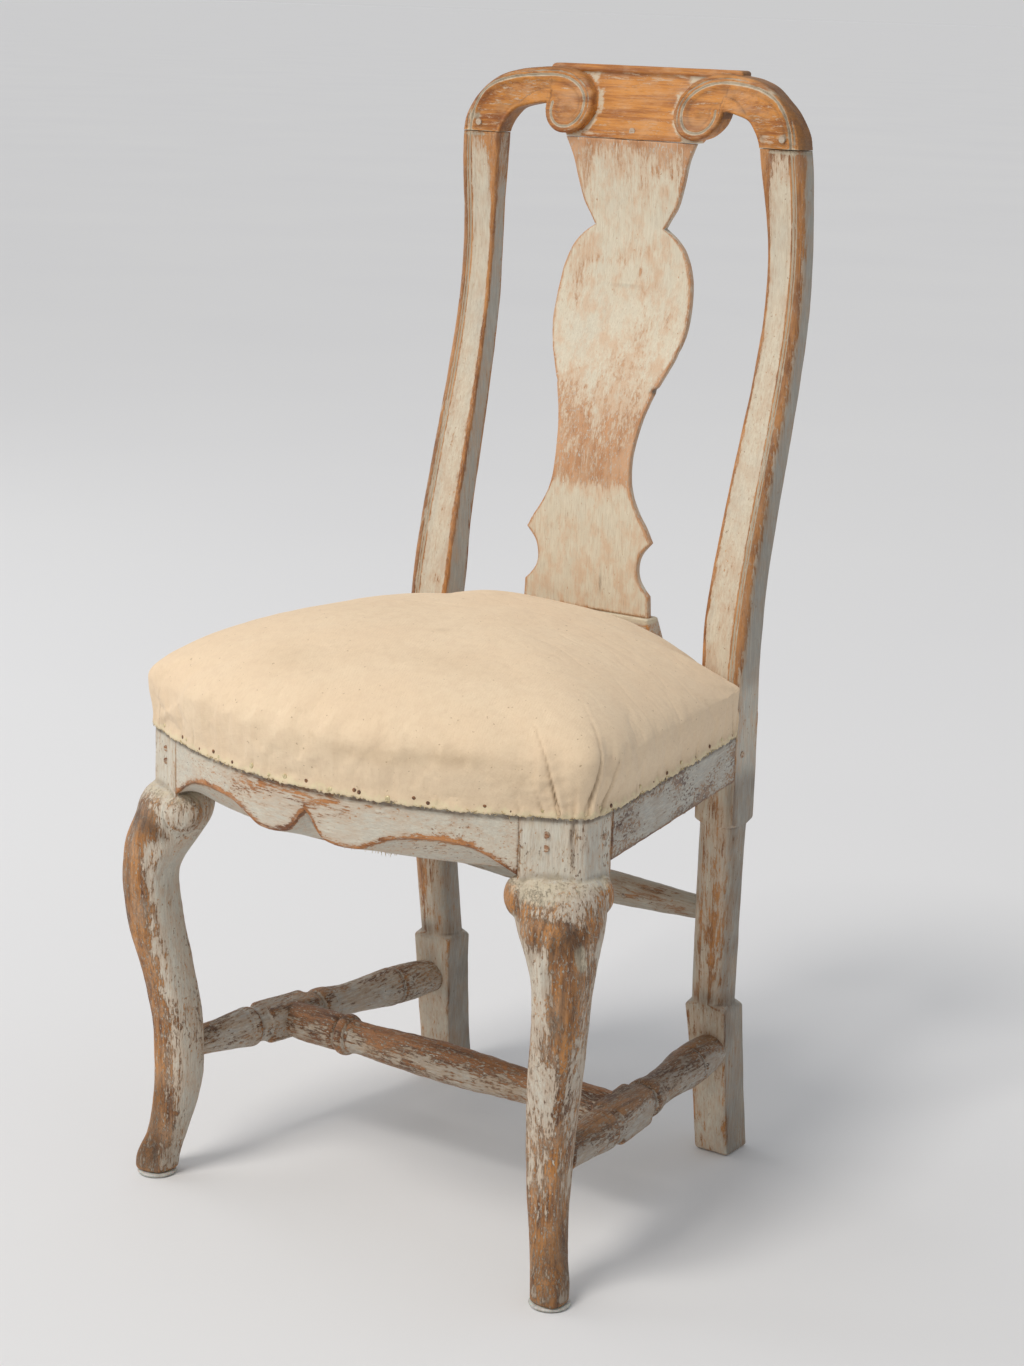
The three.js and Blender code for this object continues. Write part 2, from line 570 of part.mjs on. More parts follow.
function pegSolid(face, into, depth, gap = 0) {
  const start = face.clone().addScaledVector(into, gap ? -OVERRUN : -PEG_PROUD);
  const length = depth + (gap ? OVERRUN + gap : PEG_PROUD);
  return turned(start, face.clone().addScaledVector(into, depth), [[0, PEG_RADIUS + gap], [length, PEG_RADIUS + gap]], PEG_SIDES);
}

const PEG_DEPTH = 22;
const FRONT_PEG_X = FRONT_JOINT_HALF + FRONT_TENON_LENGTH * 0.75;
const FRONT_PEG_Y = BLOCK_CORNER_Y * (FRONT_PEG_X - FRONT_JOINT_HALF) / (FRONT_OUTER_HALF - FRONT_JOINT_HALF);
const PEG_SPACING = 12;
const RAIL_PEG_Z = mix(BLOCK_BOTTOM, RAIL_TOP, 0.46);
const INTO_BACK = new THREE.Vector3(0, 1, 0);
const INTO_LEFT = new THREE.Vector3(-1, 0, 0);

function crestPegPlace() {
  const s = postSection(POST_TOP);
  return new THREE.Vector3((s.inner + s.outer) / 2, ARM_FRONT, POST_TOP + TENON_LENGTH * 0.38);
}

// Right-hand pegs by name; the left-hand ones are their mirror images.
const PEGS = {
  upper_front_rail_peg: [new THREE.Vector3(FRONT_PEG_X, FRONT_PEG_Y, RAIL_PEG_Z + PEG_SPACING / 2), INTO_BACK, PEG_DEPTH],
  lower_front_rail_peg: [new THREE.Vector3(FRONT_PEG_X, FRONT_PEG_Y, RAIL_PEG_Z - PEG_SPACING / 2), INTO_BACK, PEG_DEPTH],
  side_rail_front_peg: [
    new THREE.Vector3(FRONT_OUTER_HALF, BLOCK_BACK - TENON_LENGTH / 2, RAIL_PEG_Z), INTO_LEFT, PEG_DEPTH,
  ],
  side_rail_rear_peg: [
    new THREE.Vector3(BACK_OUTER_HALF, POST_FRONT + TENON_LENGTH / 2, RAIL_PEG_Z), INTO_LEFT, PEG_DEPTH,
  ],
  crest_peg: [crestPegPlace(), INTO_BACK, ARM_DEPTH * 0.8],
};

const TABLET_PEG = [
  new THREE.Vector3(0, ARM_FRONT + TABLET_SET_BACK + ARM_LEAN_SHARE * SPLAT_TENON_LENGTH / 2, CREST_BOTTOM + SPLAT_TENON_LENGTH / 2),
  INTO_BACK, TABLET_DEPTH * 0.75,
];

function pegHole(name) {
  const [face, into, depth] = PEGS[name];
  return pegSolid(face, into, depth, JOINT_GAP);
}

// Frame pieces, right-hand side

// The leg below its block; a gap grows it all round, for the pieces that are shaped to it.
function legSkin(gap = 0) {
  return loft(evenShares(LEG_STEPS).map((share) => {
    const z = mix(GLIDE_THICKNESS + JOINT_GAP, BLOCK_BOTTOM - JOINT_GAP, share);
    const at = z / BLOCK_BOTTOM;
    const sweep = LEG_SWEEP * between(LEG_SHARES, at);
    const depth = LEG_THICKNESS * between(LEG_SHARES, at, 2) / 2 + gap;
    const width = LEG_KNEE_WIDTH * between(LEG_SHARES, at, 3) / 2 + gap;
    return evenShares(LEG_SECTION_POINTS).slice(0, -1).map((turn) => {
      const angle = turn * 2 * Math.PI;
      const power = 2 / LEG_ROUNDNESS;
      const along = Math.sign(Math.cos(angle)) * Math.abs(Math.cos(angle)) ** power;
      const across = Math.sign(Math.sin(angle)) * Math.abs(Math.sin(angle)) ** power;
      return onDiagonal(sweep + depth * along, width * across, z);
    });
  }));
}

function frontLeg() {
  const block = plate(blockPlan(), BLOCK_BOTTOM - 2 * JOINT_GAP, RAIL_TOP);
  const ears = [earCentre(true), earCentre(false)].map((centre) => {
    const ball = new THREE.SphereGeometry(EAR_RADIUS, EAR_SIDES, EAR_SIDES / 2);
    return solidFrom(ball.translate(centre.x, centre.y, centre.z));
  });
  const foot = legCentre(GLIDE_THICKNESS);
  return cut(
    joined(legSkin(), block, ...ears),
    frontRailTenon(JOINT_GAP), sideRailTenons(JOINT_GAP),
    roundTenon(alongSideStretcher(FRONT_SEAT_SHARE), sideStretcherDirection(), JOINT_GAP),
    glidePin(foot, JOINT_GAP),
    pegHole("upper_front_rail_peg"), pegHole("lower_front_rail_peg"), pegHole("side_rail_front_peg"),
  );
}

function earCentre(front) {
  const z = BLOCK_BOTTOM - EAR_DROP;
  if (front) return new THREE.Vector3(FRONT_JOINT_HALF + EAR_INSET, EAR_FRONT, z);
  return new THREE.Vector3(FRONT_OUTER_HALF - EAR_INSET, BLOCK_BACK - EAR_RADIUS, z);
}

function blockPlan() {
  const toJoint = new THREE.Vector2(FRONT_JOINT_HALF, 0).sub(BLOCK_CORNER).normalize();
  const toBack = new THREE.Vector2(0, 1);
  const bend = Math.acos(toJoint.dot(toBack)) / 2;
  const reach = BLOCK_CORNER_RADIUS / Math.tan(bend);
  const start = BLOCK_CORNER.clone().addScaledVector(toJoint, reach);
  const end = BLOCK_CORNER.clone().addScaledVector(toBack, reach);
  const arc = new THREE.QuadraticBezierCurve(start, BLOCK_CORNER, end).getPoints(5);
  return [
    [FRONT_JOINT_HALF, 0], ...arc.map((p) => [p.x, p.y]),
    [FRONT_OUTER_HALF, BLOCK_BACK], [FRONT_JOINT_HALF, BLOCK_BACK],
  ];
}

function sideStretcherDirection() {
  return SIDE_STRETCHER_END.clone().sub(SIDE_STRETCHER_START).normalize();
}

function glidePin(foot, gap = 0) {
  const start = new THREE.Vector3(foot.x, foot.y, gap ? 0 : GLIDE_THICKNESS - OVERRUN / 2);
  const end = new THREE.Vector3(foot.x, foot.y, GLIDE_THICKNESS + GLIDE_PIN_LENGTH + gap);
  const radius = GLIDE_PIN_RADIUS + gap;
  return turned(start, end, [[0, radius], [end.z - start.z, radius]], PEG_SIDES);
}

function glide() {
  const foot = legCentre(GLIDE_THICKNESS);
  const bottom = new THREE.Vector3(foot.x, foot.y, 0);
  const top = new THREE.Vector3(foot.x, foot.y, GLIDE_THICKNESS);
  const edge = GLIDE_THICKNESS / 4;
  const disc = turned(bottom, top, [
    [0, GLIDE_RADIUS - edge], [edge, GLIDE_RADIUS], [GLIDE_THICKNESS - edge, GLIDE_RADIUS],
    [GLIDE_THICKNESS, GLIDE_RADIUS - edge],
  ], GLIDE_SIDES);
  return joined(disc, glidePin(foot));
}

// The whole post without its joints; a gap grows it all round.
function postSkin(gap = 0) {
  const heights = [
    0, POST_FOOT_TOP * 0.3, POST_FOOT_TOP * 0.6, POST_FOOT_TOP * 0.85, POST_FOOT_TOP - POST_CHAMFER,
  ];
  evenShares(SHAFT_STEPS).forEach((share) => {
    heights.push(mix(POST_FOOT_TOP + JOINT_GAP, POST_BLOCK_BOTTOM - POST_CHAMFER, share));
  });
  heights.push(POST_BLOCK_BOTTOM);
  evenShares(POST_STEPS).forEach((share) => heights.push(mix(RAIL_TOP, POST_TOP, share)));
  return loft(heights.map((z) => {
    const s = postSection(z);
    return cutRectangle(s.inner - gap, s.outer + gap, s.front - gap, s.back + gap, z, s.edge);
  }));
}

function backPost() {
  const stretcherSeat = alongSideStretcher(REAR_SEAT_SHARE);
  const rearSeat = rearStretcherSeat();
  return cut(
    joined(postSkin(), crestTenon()),
    sideRailTenons(JOINT_GAP), rearRailTenon(JOINT_GAP),
    roundTenon(stretcherSeat, sideStretcherDirection().negate(), JOINT_GAP),
    roundTenon(rearSeat, INTO_LEFT, JOINT_GAP),
    pegHole("side_rail_rear_peg"), pegHole("crest_peg"),
  );
}

function rearStretcherSeat() {
  const s = postSection(REAR_STRETCHER_Z);
  return new THREE.Vector3(s.inner, (s.front + s.back) / 2, REAR_STRETCHER_Z);
}

// Rails

function apronEdge(x) {
  const share = Math.abs(x) / FRONT_JOINT_HALF;
  const rows = share < APRON_ARCH_SHARES[0][0] ? APRON_NOTCH_SHARES : APRON_ARCH_SHARES;
  return BLOCK_BOTTOM + APRON_REACH * between(rows, share);
}

function frontRail() {
  const end = FRONT_JOINT_HALF - JOINT_GAP;
  const rings = evenShares(FRONT_RAIL_STEPS).map((share) => {
    const x = mix(-end, end, share);
    const front = frontRailOuter(x);
    const back = front + FRONT_RAIL_THICKNESS;
    const low = apronEdge(x);
    return [
      new THREE.Vector3(x, front, RAIL_TOP), new THREE.Vector3(x, front, low),
      new THREE.Vector3(x, back - POST_EDGE, BLOCK_BOTTOM), new THREE.Vector3(x, back, BLOCK_BOTTOM),
      new THREE.Vector3(x, back, RAIL_TOP),
    ];
  });
  const tenon = frontRailTenon();
  return cut(
    joined(loft(rings), tenon, mirrored(tenon)),
    ...["upper_front_rail_peg", "lower_front_rail_peg"].flatMap((name) => [pegHole(name), mirrored(pegHole(name))]),
  );
}

function sideRail() {
  const plan = alongSideRail(0, SIDE_RAIL_THICKNESS, BLOCK_BACK + JOINT_GAP, POST_FRONT - JOINT_GAP);
  return cut(
    joined(plate(plan, RAIL_BOTTOM, RAIL_TOP), sideRailTenons()),
    pegHole("side_rail_front_peg"), pegHole("side_rail_rear_peg"),
  );
}

function rearRail() {
  const half = BACK_OUTER_HALF - POST_WIDTH - JOINT_GAP;
  const rail = box(
    -half, half, REAR_RAIL_FRONT, REAR_RAIL_FRONT + REAR_RAIL_THICKNESS, RAIL_BOTTOM, RAIL_TOP,
  );
  return joined(rail, rearRailTenon(), mirrored(rearRailTenon()));
}

// Crest rail: two scrolled arms and the tablet between them, one board in the real chair

function crestArm() {
  const place = ([x, z]) => new THREE.Vector2(x * CREST_HALF, CREST_BOTTOM + z * CREST_RISE);
  const top = new THREE.SplineCurve(ARM_TOP_SHARES.map(place)).getPoints(ARM_STEPS);
  const scroll = evenShares(VOLUTE_STEPS).map((share) => {
    const angle = Math.PI * (1 + share);
    return new THREE.Vector2(VOLUTE_X + VOLUTE_RADIUS * Math.cos(angle), VOLUTE_Z + VOLUTE_RADIUS * Math.sin(angle));
  });
  const underside = new THREE.SplineCurve(ARM_UNDERSIDE_SHARES.map(place)).getPoints(UNDERSIDE_STEPS);
  const outline = [...top, ...scroll, ...underside];
  return leaned(uprightPlate(outline, ARM_FRONT, ARM_DEPTH));
}

// A plate standing across the chair: outline in X and Z, thickness in Y.
function uprightPlate(outline, front, depth) {
  const shape = new THREE.Shape(outline.map((p) => new THREE.Vector2(p.x, p.y)));
  const geometry = new THREE.ExtrudeGeometry(shape, { depth, bevelEnabled: false });
  return geometry.rotateX(Math.PI / 2).translate(0, front + depth, 0);
}

function leaned(geometry) {
  const position = geometry.attributes.position;
  for (let i = 0; i < position.count; i += 1) {
    position.setY(i, position.getY(i) + armLean(position.getX(i), position.getZ(i)));
  }
  return solidFrom(geometry);
}

function crestRail() {
  const arm = crestArm();
  const tabletFace = ARM_FRONT + TABLET_SET_BACK;
  const lipBottom = OVERALL_HEIGHT - LIP_HEIGHT;
  const corner = (x, z) => new THREE.Vector2(x, z);
  const tablet = leaned(uprightPlate([
    corner(-TABLET_BOTTOM_HALF, CREST_BOTTOM), corner(TABLET_BOTTOM_HALF, CREST_BOTTOM),
    corner(TABLET_TOP_HALF, lipBottom), corner(-TABLET_TOP_HALF, lipBottom),
  ], tabletFace, TABLET_DEPTH));
  const lip = leaned(uprightPlate([
    corner(-LIP_HALF + LIP_PROUD, lipBottom), corner(LIP_HALF - LIP_PROUD, lipBottom),
    corner(LIP_HALF, OVERALL_HEIGHT - LIP_HEIGHT / 3), corner(LIP_HALF, OVERALL_HEIGHT),
    corner(-LIP_HALF, OVERALL_HEIGHT), corner(-LIP_HALF, OVERALL_HEIGHT - LIP_HEIGHT / 3),
  ], tabletFace - LIP_PROUD, TABLET_DEPTH + LIP_PROUD));
  const [face, into, depth] = TABLET_PEG;
  const body = joined(arm, mirrored(arm), tablet, lip);
  // The board ends a joint gap above the posts and the splat.
  const floor = box(
    -FRONT_OUTER_HALF, FRONT_OUTER_HALF, POST_FRONT, POST_FRONT * 2,
    CREST_BOTTOM - OVERRUN, CREST_BOTTOM + JOINT_GAP,
  );
  return cut(
    body, floor, crestTenon(JOINT_GAP), mirrored(crestTenon(JOINT_GAP)), splatTenonTop(JOINT_GAP),
    pegHole("crest_peg"), mirrored(pegHole("crest_peg")), pegSolid(face, into, depth, JOINT_GAP),
  );
}

// Splat

function splatHalfWidth(share) {
  const stretch = [
    [SPLAT_BASE_SHARE, SPLAT_BASE_SHARES], [SPLAT_TIP_SHARE, SPLAT_COVE_SHARES],
    [SPLAT_NECK_SHARE, SPLAT_BELLY_SHARES], [1, SPLAT_TOP_SHARES],
  ].find(([end]) => share <= end);
  return SPLAT_BELLY_HALF * between(stretch[1], share);
}

function backSplat() {
  const corners = [SPLAT_BASE_SHARE, SPLAT_TIP_SHARE, SPLAT_NECK_SHARE];
  const shares = [...evenShares(SPLAT_STEPS), ...corners].sort((a, b) => a - b);
  const rings = shares.map((share) => {
    const z = mix(SPLAT_BOTTOM, CREST_BOTTOM, share);
    const half = splatHalfWidth(share);
    const front = splatFront(z);
    const back = front + SPLAT_THICKNESS;
    return [
      new THREE.Vector3(-half, front, z), new THREE.Vector3(half, front, z),
      new THREE.Vector3(half, back, z), new THREE.Vector3(-half, back, z),
    ];
  });
  const [face, into, depth] = TABLET_PEG;
  return cut(
    joined(loft(rings), splatTenonTop(), splatTenonFoot()),
    pegSolid(face, into, depth, JOINT_GAP),
  );
}

function splatShoe() {
  const rings = evenShares(SHOE_STEPS).map((share) => {
    const z = mix(RAIL_TOP + JOINT_GAP, SPLAT_BOTTOM - JOINT_GAP, share);
    const half = mix(SHOE_BOTTOM_HALF, SHOE_TOP_HALF, share ** 0.7);
    const front = mix(SHOE_BOTTOM_FRONT, SHOE_FRONT, share);
    return [
      new THREE.Vector3(-half, front, z), new THREE.Vector3(half, front, z),
      new THREE.Vector3(half, SHOE_BACK, z), new THREE.Vector3(-half, SHOE_BACK, z),
    ];
  });
  return cut(loft(rings), splatTenonFoot(JOINT_GAP));
}

// Stretchers

function scaledRows(shares, length, radius) {
  return shares.map(([at, size]) => [at * length, size * radius]);
}

// The square block of the side stretcher; a gap grows it all round.
function stretcherBlock(gap = 0) {
  const size = STRETCHER_BLOCK_SIZE + 2 * gap;
  const block = new THREE.BoxGeometry(size, STRETCHER_BLOCK_LENGTH, size);
  const turn = new THREE.Quaternion().setFromUnitVectors(INTO_BACK, sideStretcherDirection());
  const middle = CROSS_STRETCHER_END;
  return solidFrom(block.applyQuaternion(turn).translate(middle.x, middle.y, middle.z));
}

// A turned bar between two points, from rows of shares of its length and its radius.
function turnedBar(start, end, shares, radius) {
  const length = start.distanceTo(end);
  return turned(start, end, shares.map(([at, size]) => [at * length, size * radius]), TURNED_SIDES);
}

// Each bar runs into its carriers, is shaped to their skins and then gets its round tenons.
function sideStretcher() {
  const direction = sideStretcherDirection();
  const bar = turnedBar(SIDE_STRETCHER_START, SIDE_STRETCHER_END, SIDE_TURNING_SHARES, SIDE_STRETCHER_RADIUS);
  return cut(
    joined(
      cut(joined(bar, stretcherBlock()), legSkin(JOINT_GAP), postSkin(JOINT_GAP)),
      roundTenon(alongSideStretcher(FRONT_SEAT_SHARE), direction),
      roundTenon(alongSideStretcher(REAR_SEAT_SHARE), direction.clone().negate()),
    ),
    roundTenon(crossStretcherSeat(), INTO_LEFT, JOINT_GAP),
  );
}

function crossStretcherSeat() {
  const seat = CROSS_STRETCHER_END.clone();
  seat.x -= STRETCHER_BLOCK_SIZE / 2;
  return seat;
}

// A bar across the chair: rows for its right-hand half, the carrier to shape it to and its seat.
function barAcross(end, shares, radius, carrier, seat) {
  const other = new THREE.Vector3(-end.x, end.y, end.z);
  const farHalf = shares.slice(0, -1).map(([at, size]) => [1 - at, size]).reverse();
  const bar = turnedBar(other, end, [...shares, ...farHalf], radius);
  const tenon = roundTenon(seat, INTO_LEFT);
  return joined(cut(bar, carrier, mirrored(carrier)), tenon, mirrored(tenon));
}

function crossStretcher() {
  return barAcross(
    CROSS_STRETCHER_END, CROSS_TURNING_SHARES, CROSS_STRETCHER_RADIUS, stretcherBlock(JOINT_GAP),
    crossStretcherSeat(),
  );
}

function rearStretcher() {
  return barAcross(
    REAR_STRETCHER_END, REAR_TURNING_SHARES, REAR_STRETCHER_RADIUS, postSkin(JOINT_GAP),
    rearStretcherSeat(),
  );
}

// Upholstery

// Half of the seat's plan outline, from the middle of the front to the middle of the back.
// kind says what the cloth meets there: the outside of a rail, the front of a post, or the back.
function seatOutlineHalf() {
  const front = evenShares(7).map((share) => {
    const x = FRONT_JOINT_HALF * share;
    return { x, y: frontRailOuter(x), kind: "rail" };
  });
  const block = blockPlan().slice(1, -1).map(([x, y]) => ({ x, y, kind: "rail" }));
  const side = [0.25, 0.5, 0.75, 0.93].map((share) => {
    const y = mix(BLOCK_BACK, POST_FRONT, share);
    return { x: sideRailOuter(y), y, kind: "rail", bulge: 1 - share ** 6 };
  });
  const postFace = POST_FRONT - 2 * JOINT_GAP - MUSLIN_THICKNESS;
  const cornerX = sideRailOuter(postFace) + 2 * JOINT_GAP;
  side.push({ x: cornerX + JOINT_GAP, y: postFace, kind: "rail", bulge: 0 });
  const postInner = BACK_OUTER_HALF - POST_WIDTH * POST_WIDEST_SHARE - 2 * JOINT_GAP - MUSLIN_THICKNESS;
  const post = [0, 0.5, 1].map((share) => ({
    x: mix(cornerX, postInner, share), y: postFace, kind: "post", seam: share === 0,
  }));
  const back = [1, 0.72, 0.36, 0].map((share) => ({ x: postInner * share, y: CUSHION_BACK, kind: "back" }));
  return [...front, ...block, ...side, ...post, ...back];
}

// Pieces under the cloth don't follow its fold at the post's corner.
function withoutSeam(outline) {
  return outline.filter((p) => !p.seam);
}

function seatOutline() {
  const half = seatOutlineHalf();
  const other = half.slice(1, -1).reverse().map((p) => ({ ...p, x: -p.x }));
  return [...half, ...other];
}

// The outline moved along its own normals, outwards for a positive distance.
function movedOutline(outline, distance, bulge = 0) {
  const count = outline.length;
  return outline.map((p, i) => {
    const before = outline[(i + count - 1) % count];
    const after = outline[(i + 1) % count];
    const first = new THREE.Vector2(p.x - before.x, p.y - before.y).normalize();
    const second = new THREE.Vector2(after.x - p.x, after.y - p.y).normalize();
    const normal = new THREE.Vector2(first.y + second.y, -first.x - second.x).normalize();
    const spread = Math.max(normal.dot(new THREE.Vector2(first.y, -first.x)), 0.6);
    const move = (distance + bulge * (p.bulge ?? (p.kind === "rail" ? 1 : 0))) / spread;
    return { ...p, x: p.x + normal.x * move, y: p.y + normal.y * move };
  });
}

// Height of the cushion's shoulder above each place of the outline.
function shoulderHeight(p) {
  const across = Math.abs(p.x) / BACK_OUTER_HALF;
  const depth = THREE.MathUtils.clamp(p.y / POST_FRONT, 0, 1);
  const height = CUSHION_SHOULDER + CUSHION_BACK_RISE * depth ** 2 * (1 - across ** 2);
  const outer = THREE.MathUtils.clamp((across - POST_INNER_SHARE) / (1 - POST_INNER_SHARE), 0, 1);
  return height - CUSHION_POST_DROP * outer * depth ** 6;
}

// Rings of the cushion's skin from its middle outwards and down; inset moves all of it inwards.
function cushionRings(outline, inset, lowRail, lowBack) {
  const distance = JOINT_GAP + MUSLIN_THICKNESS - inset;
  const straight = movedOutline(outline, distance);
  const swollen = movedOutline(outline, distance, CUSHION_BULGE);
  const middleY = (BLOCK_BACK + POST_FRONT) / 2;
  const shoulder = SHOULDER_SHARES.map(([insetShare, heightShare]) => swollen.map((p, i) => {
    const share = 1 - SHOULDER_INSET_SHARE * insetShare;
    const high = shoulderHeight(outline[i]) - inset * SHOULDER_DROP_SHARE;
    return new THREE.Vector3(
      p.x * share, middleY + (p.y - middleY) * share, mix(CUSHION_SIDE_TOP, high, heightShare),
    );
  })).reverse();
  const rim = shoulder[0];
  const crown = CROWN_SHARES.map((share) => rim.map((p) => new THREE.Vector3(
    p.x * share, middleY + (p.y - middleY) * share,
    mix(CUSHION_CREST - inset, p.z, share ** CROWN_POWER),
  ))).reverse();
  const atHeight = (points, rail, back) => points.map((p) => new THREE.Vector3(
    p.x, p.y, p.kind === "rail" ? rail : back,
  ));
  const drawnIn = atHeight(straight, PAD_FLOOR + STRAP_THICKNESS, PAD_FLOOR + STRAP_THICKNESS);
  return { rings: [...crown, ...shoulder, drawnIn], low: atHeight(straight, lowRail, lowBack) };
}

const STRAP_FLOOR = RAIL_TOP + JOINT_GAP;
const CROSS_STRAP_FLOOR = STRAP_FLOOR + STRAP_THICKNESS + JOINT_GAP;
const HESSIAN_FLOOR = CROSS_STRAP_FLOOR + STRAP_THICKNESS + JOINT_GAP;
const PAD_FLOOR = HESSIAN_FLOOR + HESSIAN_THICKNESS + JOINT_GAP;

function muslinCover() {
  const outline = seatOutline();
  const below = MUSLIN_EDGE - OVERRUN;
  const outside = cushionRings(outline, 0, MUSLIN_EDGE, PAD_FLOOR);
  const inside = cushionRings(outline, MUSLIN_THICKNESS, below, below);
  return cut(loft([...outside.rings, outside.low]), loft([...inside.rings, inside.low]));
}

function stuffingPad() {
  const inset = MUSLIN_THICKNESS + PAD_CLEARANCE;
  const pad = cushionRings(withoutSeam(seatOutline()), inset, PAD_FLOOR, PAD_FLOOR);
  return loft([...pad.rings, pad.low]);
}

function hessianSheet() {
  const outline = movedOutline(withoutSeam(seatOutline()), -HESSIAN_INSET);
  return plate(outline.map((p) => [p.x, p.y]), HESSIAN_FLOOR, HESSIAN_FLOOR + HESSIAN_THICKNESS);
}

function lengthwayStrap(x) {
  const half = STRAP_WIDTH / 2;
  const front = frontRailOuter(Math.abs(x) + half) + STRAP_INSET;
  const back = SHOE_BOTTOM_FRONT - JOINT_GAP;
  return box(x - half, x + half, front, back, STRAP_FLOOR, STRAP_FLOOR + STRAP_THICKNESS);
}

function crosswayStrap(y) {
  const y0 = y - STRAP_WIDTH / 2;
  const y1 = y + STRAP_WIDTH / 2;
  const x0 = sideRailOuter(y0) - STRAP_INSET;
  const x1 = sideRailOuter(y1) - STRAP_INSET;
  return plate([[-x0, y0], [x0, y0], [x1, y1], [-x1, y1]], CROSS_STRAP_FLOOR, CROSS_STRAP_FLOOR + STRAP_THICKNESS);
}

function bottomCloth() {
  const top = RAIL_BOTTOM - JOINT_GAP;
  const inset = BOTTOM_CLOTH_INSET;
  const front = evenShares(6).map((share) => {
    const x = mix(0, FRONT_JOINT_HALF - inset, share);
    return [x, frontRailOuter(x) + FRONT_RAIL_THICKNESS + JOINT_GAP];
  });
  const behindBlock = BLOCK_BACK + JOINT_GAP;
  const inFrontOfPost = POST_FRONT - JOINT_GAP;
  const postInner = BACK_OUTER_HALF - POST_WIDTH - JOINT_GAP;
  const back = REAR_RAIL_FRONT + REAR_RAIL_THICKNESS - inset;
  const half = [
    ...front, [FRONT_JOINT_HALF - inset, behindBlock], [sideRailOuter(behindBlock) - inset, behindBlock],
    [sideRailOuter(inFrontOfPost) - inset, inFrontOfPost], [postInner, inFrontOfPost], [postInner, back],
  ];
  const other = half.slice(1).reverse().map(([x, y]) => [-x, y]);
  return plate([...half, ...other], top - BOTTOM_CLOTH_THICKNESS, top);
}

// Materials: one short function for each finish

function paintedWood() {
  return new THREE.MeshStandardMaterial({ color: 0xc9c3ac, roughness: 0.72, metalness: 0 });
}

function wornWood() {
  return new THREE.MeshStandardMaterial({ color: 0xb9733c, roughness: 0.62, metalness: 0 });
}

function muslinCloth() {
  return new THREE.MeshStandardMaterial({ color: 0xe3cfa9, roughness: 0.95, metalness: 0 });
}

function jute() {
  return new THREE.MeshStandardMaterial({ color: 0x9c7d4e, roughness: 0.97, metalness: 0 });
}

function horsehair() {
  return new THREE.MeshStandardMaterial({ color: 0x6a5a48, roughness: 1, metalness: 0 });
}

function glideNylon() {
  return new THREE.MeshStandardMaterial({ color: 0xc8c6b8, roughness: 0.4, metalness: 0 });
}

// Assembly

const chair = new THREE.Group();

function add(name, solid, material) {
  const mesh = new THREE.Mesh(geometryFrom(solid), material);
  mesh.name = name;
  chair.add(mesh);
}

function addPair(name, solid, material) {
  add("right_" + name, solid, material);
  add("left_" + name, mirrored(solid), material);
}

addPair("back_post", backPost(), paintedWood());
addPair("front_leg", frontLeg(), paintedWood());
addPair("seat_rail", sideRail(), paintedWood());
addPair("side_stretcher", sideStretcher(), paintedWood());
addPair("foot_glide", glide(), glideNylon());
add("front_seat_rail", frontRail(), paintedWood());
add("rear_seat_rail", rearRail(), paintedWood());
add("crest_rail", crestRail(), wornWood());
add("back_splat", backSplat(), paintedWood());
add("splat_shoe", splatShoe(), wornWood());
add("cross_stretcher", crossStretcher(), paintedWood());
add("rear_stretcher", rearStretcher(), paintedWood());
for (const [name, [face, into, depth]] of Object.entries(PEGS)) {
  addPair(name, pegSolid(face, into, depth), wornWood());
}
add("splat_peg", pegSolid(...TABLET_PEG), paintedWood());
for (const [name, side] of [["left", -1], ["middle", 0], ["right", 1]]) {
  add(name + "_lengthway_strap", lengthwayStrap(side * FRONT_JOINT_HALF * STRAP_SPACING_SHARE), jute());
}
for (const [name, share] of CROSS_STRAP_SHARES) {
  add(name + "_crossway_strap", crosswayStrap(mix(BLOCK_BACK, POST_FRONT, share)), jute());
}
add("hessian_sheet", hessianSheet(), jute());
add("stuffing_pad", stuffingPad(), horsehair());
add("muslin_cover", muslinCover(), muslinCloth());
add("bottom_cloth", bottomCloth(), muslinCloth());

const bounds = new THREE.Box3().setFromObject(chair);
chair.position.y = -(bounds.min.y + bounds.max.y) / 2;

export default chair;
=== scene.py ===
"""Painted side chair with a shaped splat, a scrolled crest rail and a muslin seat.

Shapes are drawn in millimetres with Y = 0 on the line between the front rail's joints,
as the chair is measured, and each finished piece is then moved to the frame and to metres.
"""

import json
import math
from types import SimpleNamespace

import bmesh
import bpy
import numpy as np
from mathutils import Matrix, Quaternion, Vector, noise
from mathutils.kdtree import KDTree

